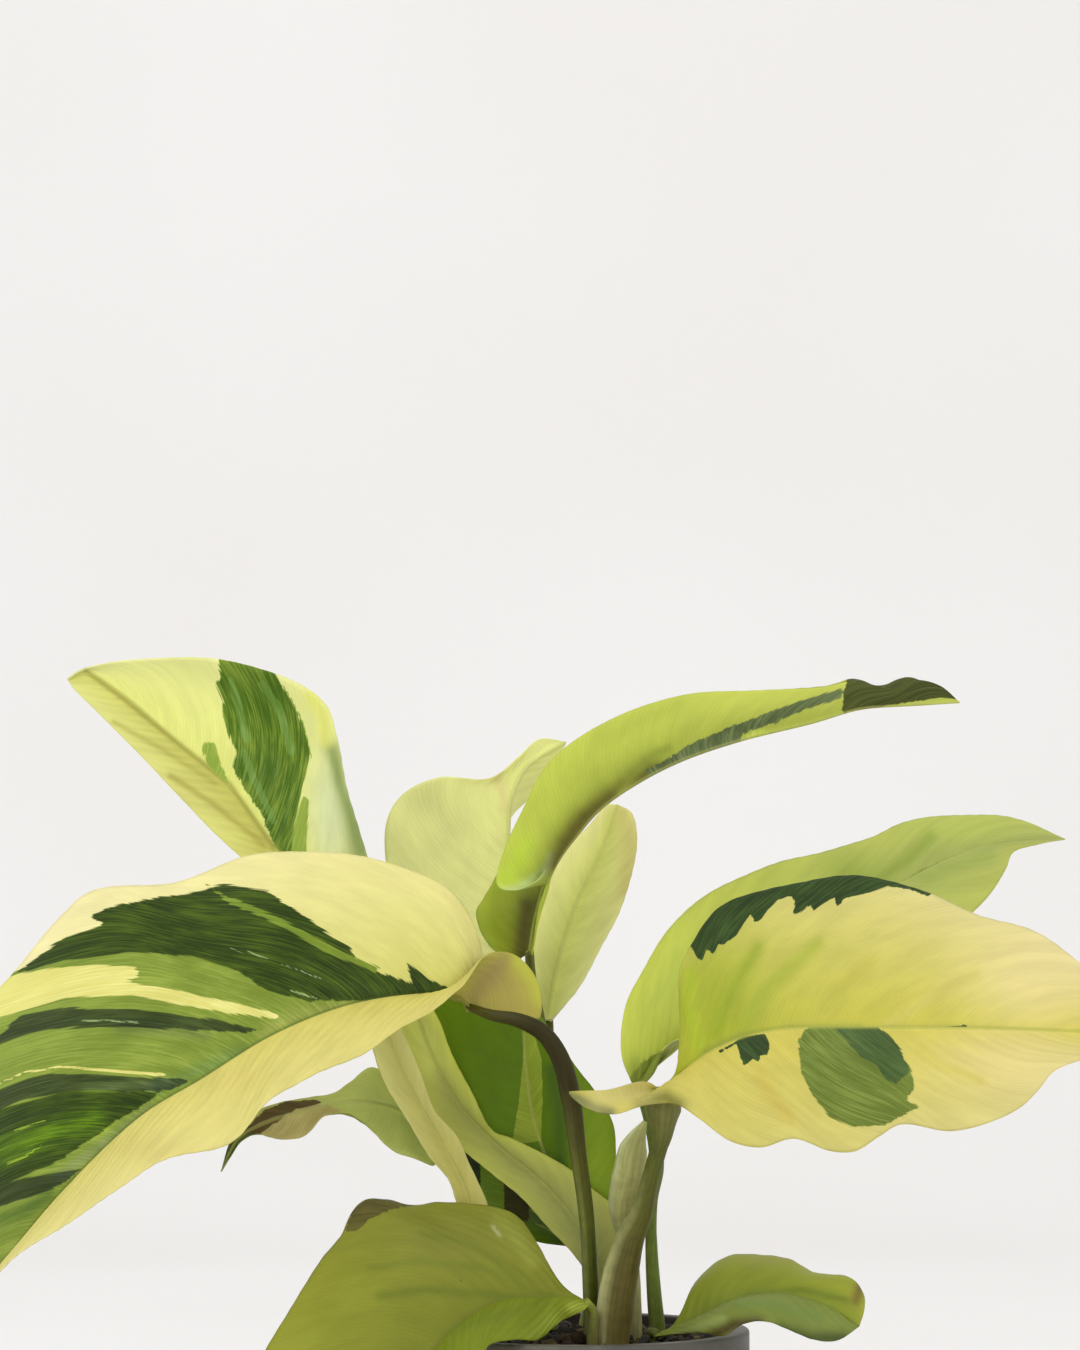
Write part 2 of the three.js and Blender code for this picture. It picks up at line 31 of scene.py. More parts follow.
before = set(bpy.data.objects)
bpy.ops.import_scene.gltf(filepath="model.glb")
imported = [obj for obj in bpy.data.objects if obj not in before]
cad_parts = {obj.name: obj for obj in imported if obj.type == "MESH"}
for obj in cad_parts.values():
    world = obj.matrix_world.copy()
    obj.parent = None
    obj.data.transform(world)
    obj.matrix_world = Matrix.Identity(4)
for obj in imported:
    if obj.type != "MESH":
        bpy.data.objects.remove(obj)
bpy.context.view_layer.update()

MM = 0.001
LEFT = 0
RIGHT = 1
BOTH = (LEFT, RIGHT)

# Camera: pixels, millimetres and degrees
IMAGE_WIDTH = 1080
IMAGE_HEIGHT = 1350
CAMERA_PLACE = np.array([-13.0, -1200.0, 225.0])
CAMERA_PITCH = 5.18
LENS = 90.5
SENSOR = 36.0

# Pot, soil and stalk feet, with the sizes of the solids
POT_HEIGHT = 105.0
RIM_RADIUS = 60.0
RIM_DEPTH = 9.0
COLLAR_RADIUS = 56.0
FOOT_RADIUS = 42.0
POT_WALL = 2.0
FLOOR_THICKNESS = 3.0
SOIL_EDGE = 98.0
SOIL_CROWN = 102.0
STEM_FOOT = 86.0
STEM_STRAIGHT = 104.0

# Finer form of the pot and the soil. A lump has a height, then a rate and a start along x and y.
POT_SIDES = 160
CORNER_ROUNDING = 1.3
FOOT_RING = 6.0
FOOT_LIFT = 1.2
COLLAR_TAPER = 0.6
COLLAR_STEP = 1.6
COLLAR_DEPTH = 16.0
SOIL_SIDES = 150
SOIL_RINGS = 60
SOIL_SEED = 11
SOIL_GRAIN = 0.35
SOIL_EDGE_GAP = 0.3
SOIL_FLOOR_GAP = 0.35
SOIL_FOOT_GAP = 0.4
LUMP_FADE = 1.15
SOIL_LUMPS = (
    (0.9, 0.31, 1.1, 0.27, 0.4),
    (0.5, 0.83, 2.0, 0.91, 1.2),
)

# Crumbs on the soil: each keeps clear of stalks and wall by CRUMB_ROOM times its size
CRUMB_COUNT = 1500
CRUMB_SEED = 5
CRUMB_REACH = 51.0
CRUMB_ROOM = 1.9
SMALL_CRUMBS = (0.5, 1.5)
LARGE_CRUMBS = (1.5, 2.9)
SMALL_SHARE = 0.8
CRUMB_STRETCH = (0.5, 1.5)
CRUMB_BUMPS = 0.14
CRUMB_LIFT = 0.25
CRUMB_SHADES = (0.7, 1.2)
CRUMB_TINTS = ("1a0f08", "2b1a0c", "3a2610", "4a3a1c", "150d07", "5c4c28")

# Blades. A share runs from 0 at the stalk or midrib to 1 at the tip or margin.
CURVE_STEPS = 40
TANGENT_STEP = 0.002
ROW_SPACING = 1.15
COLUMN_SPACING = 1.3
FEWEST_COLUMNS = 10
RIB_DENSITY = 1.35
WIDEST_SHARE = 0.45
LAST_ROW_GAP = 0.35
HALF_THICKNESS = 0.3
EDGE_THICKNESS = 0.12
EDGE_SHARE = 0.02
KEEL_DEPTH = 1.6
KEEL_WIDTH = 1.0
KEEL_FADE = 0.8
GROOVE_DEPTH = 0.35
GROOVE_WIDTH = 0.8
GROOVE_FADE = 0.5
LOBE_FADE = 0.14
LOBE_SHARES = np.linspace(0.0, 1.0, 40)[::4]
PLEAT_SPACING = 5.2
PLEAT_HEIGHT = 0.13
PLEAT_SWAY = 1.3
PLEAT_DRIFT = 17.0
PLEAT_RISE = 6.0
PLEAT_AT_RIB = 1.1
PLEAT_LOSS = 0.5
LONG_WAVE = 6.5
SHORT_WAVE = 3.9
SHORT_WAVE_HEIGHT = 0.7
WAVE_POWER = 3
CALM_BASE = 0.12
CALM_TIP = 0.1
VEIN_SPACING = 1.5
VEIN_CURVE = 1.25
TINT_CURVE = 1.2
FAR_OUTSIDE = -40.0
STROKE_SHARPNESS = 4.0

# Leaf material: the scales are per millimetre, and the bump's height is in metres
STREAK_SCALE = 1.1
CLOUD_SCALE = 0.12
ACROSS_SCALE = 0.09
JAG_STEP = 1.3
JAG_BY_STEP = 1.6
JAG_BY_STREAK = 3.6
MARK_SOFTNESS = 1.3
FAR_FACE_STRENGTH = 0.4
RIB_CORE = 0.3
RIB_EDGE = 1.0
RIB_STRENGTH = 0.45
UPPER_ROUGHNESS = (0.4, 0.52)
UNDER_ROUGHNESS = (0.55, 0.68)
LEAF_SPECULAR = 0.16
LEAF_BUMP = 0.00016

# Stalks. A stripe is a colour, its turn round the stalk, its width, its strength and the share of the
# length over which it fades.
STEM_SIDES = 20
STEM_STEP = 1.4
FEWEST_RINGS = 6
STEM_TINTS = ("7c8640", "66722c", "5f6a28", "565a22")
SEAM_TURN = -2.2
SEAM_WIDTH = 0.08
SEAM_RIDGE = 0.12
SEAM_STRIPE = ("a4ac62", SEAM_TURN, SEAM_WIDTH, 0.6, 0.7)
RIDGE_FADE = 1.6
STEM_OVERLAP = 1.2

# Colours, as hexadecimal display values
RIB_TINT = "b9ba6c"
POT_TINT = "46443c"
# Dust colour, also a painted highlight on the rim's top band
POT_DUST_AND_HIGHLIGHT = "6a6658"
POT_GRAIN = "36342c"
# Painted shade inside the pot
POT_INNER_SHADE = "24120a"
SOIL_TINTS = ("140a05", "2c1c10", "1e1209")
PAPER_TINTS = ("f2f1f0", "ebe8e6")

# Studio: places and sizes in metres, power in watts
WORLD_TINT = (1.0, 0.995, 0.985, 1.0)
WORLD_STRENGTH = 0.78
LIGHTS = (
    {"name": "key", "place": (-1.1, -1.5, 1.7), "aim": (0.0, 0.0, 0.2), "size": (1.6, 1.6),
     "power": 22.0},
    {"name": "fill", "place": (1.6, -1.2, 0.9), "aim": (0.0, 0.0, 0.2), "size": (1.4, 1.4),
     "power": 7.0},
    {"name": "wall_wash", "place": (0.0, 0.6, 3.2), "aim": (0.0, 2.6, 0.9), "size": (4.0, 1.0),
     "power": 13.0},
)
STAGE_FRONT = -4.0
STAGE_BACK = 2.6
STAGE_CURVE = 0.8
STAGE_TOP = 4.5
STAGE_SIDE = 6.0
STAGE_STEPS = 12

# Markings lie over one another in this order, each in an ink and a lighter or darker streak of it
LAYERS = ("mid", "light", "grey", "dark", "pale", "top")
INKS = {
    "mid": ("75892e", "8e9f41"),
    "light": ("d6d072", "deda8a"),
    "grey": ("2d3b15", "475625"),
    "dark": ("253704", "475d10"),
    "pale": ("869859", "a1b174"),
    "top": ("72892c", "859a3d"),
}

# What each leaf holds. Pairs are for the left and the right half.
# seen: the faces that the photograph shows
# crowding: above 1, the rows of vertices lie closer together near the stalk
# lead: below 1, a row ends further along its margin than it starts along the midrib
# puff: how far the half bulges
# stub: half the width where the blade meets its stalk
# lobe: how many of the margin's points are a basal lobe's inner edge
# slant: how far the side veins lean towards the tip on their way out
# wave: height of the margin's fine waves
# rib, left, right: points along the midrib and both margins, from the stalk to the tip
# stem, radii: the stalk's foot and the points above it, and its radius along the way
# upper, under: base colours at rib and margin, by the stalk and then by the tip, or two such sets
# rib_tint, stem_tint, stripes, inks: own colours of the midrib, stalk, stalk's stripes and markings
# marks: layer, side, sharpness of the edge, outline
# strokes: layer, side, width, line
# blobs: side, centre x and y, reach across and down, colour, strength
# washes: side, reach, colour, strength, line
# glazes: side, reach, factors of red, green and blue, line. They lie on the seen faces alone.

FRONT_LEFT = {
    "name": "front_left", "slot": "variegated_blade", "seen": ("upper",),
    "crowding": 1.7, "lead": (0.57, 0.8), "puff": (1, 4), "stub": 1.8, "lobe": (3, 0),
    "slant": (30, 70), "wave": (0.5, 0.5),
    "rib": [
        (-37, -20, 216), (-42, -21, 220), (-57, -26, 221), (-80, -36, 217), (-104, -48, 207),
        (-126, -60, 193), (-145, -70, 181), (-168, -82, 158), (-187, -92, 134), (-205, -98, 113)
    ],
    "left": [
        (-29, -21, 214.5), (-20, -18.5, 212.5), (-12, -14, 213), (-11.5, -11, 220), (-14.5, -10, 228),
        (-22, -13, 235), (-32, -20, 234), (-40, -30, 224), (-50, -46, 215), (-60, -56, 209),
        (-70, -64, 203), (-92, -78, 192), (-101, -84, 187), (-113, -92, 174), (-138, -100, 166),
        (-160, -104, 151), (-186, -103, 133)
    ],
    "right": [
        (-33, -9, 231), (-36, -8, 245), (-45, -8, 257), (-62, -10, 266), (-86, -14, 270),
        (-114, -20, 269), (-141, -28, 259), (-167, -36, 256), (-176, -42, 248), (-190, -52, 229),
        (-206, -62, 209), (-216, -72, 183), (-217, -82, 154), (-213, -92, 129)
    ],
    "stem": [
        (5, -10), (4.5, -12, 119), (3, -17, 145), (0, -20, 167.5), (-2.5, -23, 186), (-6, -26, 199),
        (-12, -28, 207.8), (-20, -28.5, 212), (-30, -25, 214)
    ],
    "radii": (3.4, 2.8, 2.6, 2.8, 3.5, 2.9, 1.3),
    "upper": (("cbc05a", "cbc065", "d6cb76", "dbd289"), ("cac860", "ddd57d", "d7d48b", "e8dfaf")),
    "under": ("a39a38", "b0ac44", "b4b062", "c2be76"),
    "rib_tint": "4e5e28",
    "stem_tint": ("505515", "4c5310", "4d5310", "49490b", "342d08", "2c2705", "4b4a09"),
    "inks": {"pale": ("7d9058", "93a46c"), "top": ("6d8226", "7d9230")},
    "marks": [
        ("mid", RIGHT, 1.8, [
            (460, 990), (383, 988), (300, 980), (236, 958), (185, 948), (137, 944), (64, 950),
            (13, 972), (-50, 990), (-50, 1350), (0, 1290), (96, 1180), (223, 1085), (319, 1040),
            (420, 1010)
        ]),
        ("light", RIGHT, 1.8, [
            (-50, 992), (0, 978), (57, 967), (100, 965), (138, 968), (139, 976), (124, 981),
            (166, 988), (223, 1001), (281, 1015), (275, 1019), (204, 1010), (134, 996), (64, 998),
            (0, 1017), (-50, 1040)
        ]),
        ("grey", RIGHT, 1.8, [
            (-50, 1052), (0, 1036), (20, 1015), (60, 1008), (128, 1009), (204, 1018), (262, 1030),
            (248, 1033), (200, 1031), (143, 1028), (73, 1028), (30, 1033), (0, 1046), (-50, 1066)
        ]),
        ("grey", RIGHT, 1.8, [
            (-50, 1116), (0, 1091), (30, 1079), (51, 1074), (96, 1075), (143, 1078), (190, 1080),
            (170, 1091), (120, 1093), (64, 1093), (20, 1101), (0, 1111), (-50, 1130)
        ]),
        ("dark", RIGHT, 1.8, [
            (-50, 1128), (0, 1110), (64, 1092), (120, 1092), (160, 1092), (140, 1108), (112, 1124),
            (85, 1144), (60, 1160), (0, 1188), (-50, 1205)
        ]),
        ("dark", RIGHT, 1.8, [
            (458, 993), (430, 980), (406, 962), (412, 984), (380, 972), (356, 959), (350, 948),
            (300, 914), (268, 892), (223, 884), (198, 891), (159, 899), (108, 908), (89, 917),
            (105, 925), (64, 938), (13, 974), (64, 961), (128, 953), (159, 954), (191, 957),
            (240, 972), (268, 992), (306, 1001), (351, 1001), (400, 998)
        ]),
        ("grey", RIGHT, 1.8, [
            (-50, 1222), (0, 1184), (28, 1177), (62, 1171), (84, 1168), (62, 1185), (30, 1197),
            (0, 1206), (-50, 1242)
        ]),
        ("top", RIGHT, 1.8, [
            (206, 884), (226, 896), (246, 904), (275, 916), (304, 931), (331, 945), (356, 958),
            (380, 968), (376, 973), (345, 961), (318, 948), (286, 930), (255, 914), (230, 904)
        ]),
    ],
    "strokes": [
        ("light", RIGHT, 2.4, [
            (-50, 1108), (0, 1084), (25, 1073), (60, 1067), (112, 1071), (165, 1075)
        ]),
        ("pale", RIGHT, 2.4, [(75, 1021), (105, 1021), (140, 1023)]),
        ("light", RIGHT, 2.0, [(0, 1107), (7, 1104), (14, 1102)]),
        ("top", RIGHT, 2.0, [(14, 1131), (30, 1125), (46, 1120)]),
        ("top", RIGHT, 2.0, [(6, 1164), (26, 1156), (44, 1144)]),
        ("pale", RIGHT, 1.8, [(281, 964), (300, 971), (320, 979)]),
        ("pale", RIGHT, 1.4, [(228, 947), (244, 955)]),
        ("pale", RIGHT, 1.4, [(246, 950), (268, 960)]),
        ("pale", RIGHT, 1.6, [(290, 990), (304, 995), (318, 999)]),
    ],
    "blobs": [
        # Painted shade, brownish, on the basal lobe
        (LEFT, 505, 985, 30, 22, "a0924a", 0.85),
        (LEFT, 150, 1150, 40, 14, "c8b868", 0.4),
        (LEFT, 240, 1080, 46, 14, "c8b868", 0.4),
        (RIGHT, 20, 1260, 40, 30, "8a9c50", 0.6),
    ],
    "washes": [
        (RIGHT, 7, "8c9a50", 0.6, [
            (318, 1040), (260, 1068), (200, 1102), (150, 1142), (96, 1196), (40, 1256)
        ]),
        # Painted shade on the basal lobe's left part
        (LEFT, 12, "94844a", 0.9, [(476, 1000), (490, 975), (505, 962)]),
        (LEFT, 14, "a2964a", 0.85, [(490, 1004), (520, 1008), (538, 1008)]),
        (LEFT, 10, "b2b442", 0.85, [(520, 962), (536, 980), (541, 1000)]),
    ],
    "glazes": [
        (RIGHT, 12, (2.3, 2.5, 0.8), [(0, 1150), (30, 1142), (60, 1130), (96, 1118)]),
        (RIGHT, 5, (2.3, 2.1, 3.0), [(88, 1092), (130, 1085), (165, 1083)]),
        (RIGHT, 6, (1.0, 0.95, 2.1), [(60, 1176), (84, 1158), (112, 1138), (150, 1110)]),
        (RIGHT, 8, (0.5, 0.6, 0.6), [(0, 1220), (26, 1210), (48, 1196)]),
        (RIGHT, 7, (1.3, 1.15, 1.7), [(262, 1034), (300, 1014), (350, 1006)]),
        (RIGHT, 6, (0.8, 0.8, 1.2), [(120, 1030), (165, 1030), (205, 1036)]),
        (RIGHT, 7, (0.85, 0.95, 1.5), [(150, 1092), (190, 1074), (240, 1052)]),
        (RIGHT, 5, (1.25, 1.25, 2.0), [(390, 992), (340, 984), (300, 966)]),
        (RIGHT, 9, (1.25, 1.2, 1.9), [(0, 1276), (18, 1254)]),
    ],
}

TOP_LEFT = {
    "name": "top_left", "slot": "variegated_blade", "seen": ("upper",),
    "crowding": 1.3, "lead": (0.85, 0.85), "puff": (-2, -7), "stub": 1.5, "lobe": (0, 0),
    "slant": (20, 30), "wave": (0.4, 0.4),
    "rib": [
        (-77, 48, 242), (-90, 52, 257), (-109, 55, 273), (-128, 60, 297), (-148, 63, 314),
        (-169, 65, 332), (-183, 66, 340), (-190, 66, 338)
    ],
    "left": [
        (-85, 54, 239), (-102, 60, 254), (-126, 63, 273), (-140, 68, 286), (-159, 69, 306),
        (-180, 68, 327), (-188, 67, 335)
    ],
    "right": [
        (-69, 36, 251), (-75, 34, 269), (-82, 38, 291), (-88, 44, 314), (-91, 47, 326),
        (-98, 50, 333), (-117, 54, 341), (-134, 58, 345), (-155, 61, 346), (-174, 64, 344),
        (-186, 65, 341)
    ],
    "stem": [
        (-9, 18), (-15, 28, 116), (-22, 36, 142), (-32, 40, 159), (-49, 42, 190), (-66, 44, 221)
    ],
    "radii": (2.4, 2.1, 1.9, 2.2, 1.6),
    "upper": (("bcb74e", "cccb64", "d2d36e", "e0e08b"), ("dae077", "dde28c", "dcde7e", "eaeb9c")),
    "under": ("c3bf72", "cfca80", "c6c27a", "d4cf8c"),
    "rib_tint": "a2a448",
    "inks": {
        "dark": ("426507", "7f9634"), "mid": ("8ba439", "a0b44d"), "top": ("5c8026", "7c9a4c"),
        "grey": ("355406", "4c6917")
    },
    "marks": [
        ("dark", RIGHT, 1.8, [
            (217, 645), (219, 668), (222, 676), (216, 682), (224, 702), (222, 716), (230, 738),
            (236, 752), (232, 767), (245, 790), (262, 815), (275, 850), (288, 870), (297, 815),
            (303, 785), (311, 757), (305, 728), (292, 700), (280, 680), (264, 655)
        ]),
        ("mid", RIGHT, 2, [
            (201, 748), (206, 742), (216, 743), (219, 758), (224, 772), (232, 787), (218, 780),
            (208, 766)
        ]),
        ("mid", RIGHT, 2, [(279, 880), (292, 830), (303, 795), (309, 800), (307, 850), (306, 880)]),
    ],
    "strokes": [
        ("top", RIGHT, 7.0, [(231, 680), (238, 700), (243, 722), (247, 740)]),
        ("top", RIGHT, 8.0, [(262, 684), (278, 706), (288, 735), (292, 752)]),
        ("mid", RIGHT, 3.0, [(262, 672), (285, 688), (303, 722), (311, 757)]),
        ("grey", RIGHT, 5.0, [(262, 680), (286, 708), (301, 740), (303, 775)]),
        ("top", RIGHT, 7.0, [(244, 752), (252, 775), (264, 800), (274, 822)]),
    ],
    "blobs": [
        (RIGHT, 332, 812, 24, 70, "dbe3b0", 0.9),
        # Painted shade along the turned right edge
        (RIGHT, 360, 820, 14, 55, "7f9450", 0.85),
        (RIGHT, 344, 750, 12, 34, "aab45c", 0.6),
    ],
    "washes": [
        # Painted shade along the turned right edge
        (RIGHT, 7, "8a9c58", 0.85, [(331, 750), (340, 780), (352, 815), (363, 852)]),
        (LEFT, 3.5, "b0a850", 0.8, [(171, 776), (215, 805), (235, 821), (264, 844)]),
        (LEFT, 3, "b8b458", 0.7, [(114, 722), (159, 747), (215, 782)]),
        (BOTH, 2.5, "9c9440", 0.75, [(86, 671), (124, 699), (163, 731), (230, 784), (274, 847)]),
        (RIGHT, 8, "dede5c", 0.6, [(312, 695), (324, 715), (326, 740)]),
        (RIGHT, 7, "7f9a48", 0.6, [(270, 690), (282, 715), (290, 745)]),
    ],
}

BACK_CENTRE = {
    "name": "back_centre", "slot": "pale_blade", "seen": ("under",),
    "crowding": 1.3, "lead": (0.9, 0.8), "puff": (0, 3), "stub": 1.4, "lobe": (0, 0),
    "slant": (14, 22), "wave": (0.3, 0.4),
    "rib": [
        (-28, 50, 224), (-27, 56, 244), (-26, 64, 263), (-25, 70, 282), (-24, 74, 293),
        (-18, 80, 306), (-3, 84, 316)
    ],
    "left": [(-26, 60, 237), (-25, 70, 256), (-28, 80, 277), (-24, 85, 287), (-10, 87, 302)],
    "right": [
        (-36, 47, 224), (-53, 50, 237), (-65, 56, 250), (-70, 62, 267), (-70, 68, 286),
        (-64, 74, 296), (-51, 76, 302), (-32, 78, 302), (-21, 80, 310), (-13, 83, 317)
    ],
    "stem": [(10, 27), (11, 35, 115), (8, 42, 129), (-4, 47, 145), (-16, 50, 172), (-24, 50, 200)],
    "radii": (2.4, 2, 1.8, 2, 1.6),
    "upper": ("c8cf70", "d4d886", "cdd276", "d8da8c"),
    "under": ("d0ce89", "d6d994", "dfe289", "e7e790"),
    "washes": [
        (RIGHT, 7, "c8b87c", 0.5, [(498, 778), (506, 808)]),
        (RIGHT, 18, "bcbc78", 0.5, [(425, 800), (455, 830)]),
    ],
}

ARCHING = {
    "name": "arching", "slot": "pale_blade", "seen": ("upper", "under"),
    "crowding": 1.3, "lead": (0.85, 0.9), "puff": (2, -3), "stub": 1.4, "lobe": (0, 0),
    "slant": (20, 24), "wave": (0.3, 0.3),
    "rib": [
        (-17, 10, 235), (-15, 9, 247), (-11, 7, 261), (-7, 5, 269), (-1, 4, 277), (8, 3, 287),
        (21, 2, 296), (37, 1, 304), (58, 0, 311), (83, 0, 317), (101, 0, 322), (116, 0, 323),
        (136, 0, 324)
    ],
    "left": [
        (-22, 13, 233), (-31, 16, 238), (-36, 20, 250), (-33, 22, 256), (-26, 24, 268),
        (-20, 24, 285), (-10, 22, 301), (5, 20, 314), (30, 16, 325), (66, 12, 329), (90, 9, 331),
        (99, 8, 333), (108, 6, 330), (118, 5, 333.5), (127, 3, 330)
    ],
    "right": [
        (-13, 2, 252), (-10, -3, 265), (-15, -9, 260), (-23, -11, 257), (-28, -10, 259),
        (-25.5, -8, 271.5), (-19, -6, 286), (-11, -6, 301), (-1, -6, 310), (15, -6, 319),
        (29, -6, 324), (43, -6, 327), (65, -5, 328), (86, -4, 329), (97, -3, 331), (111, -2, 329),
        (120, -1, 332), (129, 0, 330)
    ],
    "stem": [
        (3, 18), (6, 22, 116), (4, 26, 135), (-6, 31, 165), (-10.5, 32, 194), (-13.5, 28, 213),
        (-16, 19, 226)
    ],
    "radii": (2.4, 2.2, 2.1, 2.3, 1.6),
    "upper": ("677116", "94a224", "8a982e", "9aa532"),
    "under": ("a7b73c", "b0c041", "b0b951", "bfc45a"),
    "inks": {
        "grey": ("56643c", "7a8858"), "dark": ("3c4318", "5c6430"), "light": ("cfd68c", "dbe0a0"),
        "top": ("b4c24a", "c6d05e")
    },
    "marks": [
        ("grey", RIGHT, 2, [
            (645, 770), (672, 755), (694, 742), (721, 730), (737, 724), (759, 716), (791, 703),
            (818, 695), (843, 688), (841, 698), (818, 705), (794, 714), (775, 723), (759, 727),
            (744, 733), (738, 742), (712, 752), (680, 768), (650, 784)
        ]),
        ("top", RIGHT, 2, [(741, 742), (750, 732), (766, 727), (770, 735), (752, 744)]),
        ("dark", BOTH, 3, [
            (842, 712), (843, 694), (848, 678), (880, 672), (965, 672), (965, 700), (940, 698),
            (915, 701), (880, 706), (852, 710)
        ]),
    ],
    "strokes": [
        ("grey", RIGHT, 4.0, [(760, 722), (775, 716), (796, 709)]),
    ],
    "washes": [
        (RIGHT, 4.5, "b6c67e", 0.9, [(494, 891), (515, 890), (535, 878), (547, 866), (551, 856)]),
        (RIGHT, 10, "b4cc3c", 0.7, [(505, 878), (518, 862), (524, 845)]),
        (LEFT, 3, "5c6420", 0.7, [(469, 914), (472, 904), (482, 894)]),
        # Painted shade along the inner curve, where the blade turns under
        (BOTH, 13, "5a5220", 0.9, [
            (556, 864), (565, 842), (583, 819), (607, 800), (634, 783), (652, 772)
        ]),
        # Faint painted shade
        (RIGHT, 8, "98a63c", 0.25, [(600, 740), (640, 722), (680, 706)]),
        (RIGHT, 5, "8e9a3c", 0.7, [(620, 792), (636, 770), (650, 756), (668, 748)]),
        (LEFT, 9, "5c5e26", 0.9, [(842, 700), (965, 702)]),
        # Painted shade on the hanging basal lobe's right strip
        (LEFT, 10, "4a4418", 0.9, [(528, 905), (524, 930), (522, 960)]),
        (LEFT, 7, "98aa34", 0.8, [(478, 905), (484, 930), (494, 950)]),
    ],
}

SMALL_BACK = {
    "name": "small_back", "slot": "pale_blade", "seen": ("under",),
    "crowding": 1.2, "lead": (0.85, 0.85), "puff": (2, 2), "stub": 1.3, "lobe": (0, 0),
    "slant": (12, 12), "wave": (0.2, 0.2),
    "rib": [(-10, 38, 211), (-6, 44, 233), (1, 52, 255), (10, 58, 274), (16, 62, 291)],
    "left": [(0, 35, 222), (9, 38, 237), (16, 43, 251), (21, 50, 266), (23, 56, 279), (21, 60, 288)],
    "right": [
        (-17, 42, 224), (-18.5, 50, 241), (-15, 57, 257), (-6, 64, 272), (5, 67, 283), (12, 65, 291)
    ],
    "stem": [(15, 19), (12, 28, 116), (5, 36, 138), (-4, 44, 165), (-9, 44, 194)],
    "radii": (2.4, 2, 1.8, 2, 1.6),
    "upper": ("9fb048", "b3bc58", "aab652", "bcc466"),
    "under": ("dee37f", "efefa3", "c6ca6a", "e2dc93"),
    "washes": [
        (LEFT, 10, "ccc070", 0.6, [(622, 812), (632, 850), (626, 890)]),
        (RIGHT, 12, "c6c978", 0.4, [(560, 900), (548, 960), (545, 1010)]),
    ],
}

BACK_RIGHT = {
    "name": "back_right", "slot": "green_blade", "seen": ("upper",),
    "crowding": 1.4, "lead": (0.8, 0.8), "puff": (3, 3), "stub": 1.5, "lobe": (0, 0),
    "slant": (34, 30), "wave": (0.4, 0.5),
    "rib": [
        (21, 6, 188), (25, 9, 193), (41, 17, 208), (70, 33, 233), (104, 45, 253), (123, 52, 263),
        (142, 56, 272), (161, 58, 277), (182, 60, 278)
    ],
    "left": [
        (16, 10, 199), (17, 15, 215), (23, 22, 228), (42, 38, 253), (75, 52, 269), (109, 60, 278),
        (121, 62, 284), (136, 64, 287), (155, 63, 287), (169, 61, 284)
    ],
    "right": [
        (27, 6, 193), (32, 9, 202), (47, 13, 208), (76, 20, 212), (106, 28, 224), (129, 38, 237),
        (146, 46, 251), (153, 50, 258), (159, 53, 267), (162, 55, 273), (172, 57, 276)
    ],
    "stem": [(28, 1), (27, 0, 115), (26, 0, 132), (26, 0, 149), (28, 1, 161), (26, 3, 175)],
    "radii": (3.2, 2.7, 2, 2.6, 1.6),
    "upper": ("bbc84d", "ced852", "a1aa62", "b1b75f"),
    "under": ("a8ae66", "b2b872", "aab06a", "b8bc7c"),
    "stem_tint": ("6a7c2a", "66782a", "627426", "566420"),
    "inks": {"mid": ("7c9236", "8ea446"), "dark": ("6f7d26", "84903a")},
    "marks": [
        ("dark", BOTH, 2, [
            (625, 1088), (630, 1077), (640, 1064), (654, 1055), (668, 1050), (686, 1038), (686, 1052),
            (674, 1064), (664, 1078), (656, 1088)
        ]),
    ],
    "strokes": [
        ("mid", LEFT, 2.2, [(900, 884), (925, 869), (958, 855), (1001, 843), (1050, 840)]),
    ],
    "blobs": [
        (LEFT, 850, 880, 30, 26, "869c3c", 0.6),
        (LEFT, 960, 830, 60, 14, "b4c25c", 0.7),
        (RIGHT, 655, 1068, 22, 16, "5d6a22", 0.9),
        (LEFT, 636, 1072, 12, 16, "7c8c34", 0.7),
    ],
    "washes": [
        (LEFT, 7, "8ca040", 0.7, [(872, 884), (905, 862), (930, 838)]),
        (RIGHT, 7, "98a850", 0.6, [(925, 880), (955, 866), (990, 856)]),
        (LEFT, 8, "b8c856", 0.5, [(650, 1010), (690, 950), (750, 905), (800, 890)]),
    ],
}

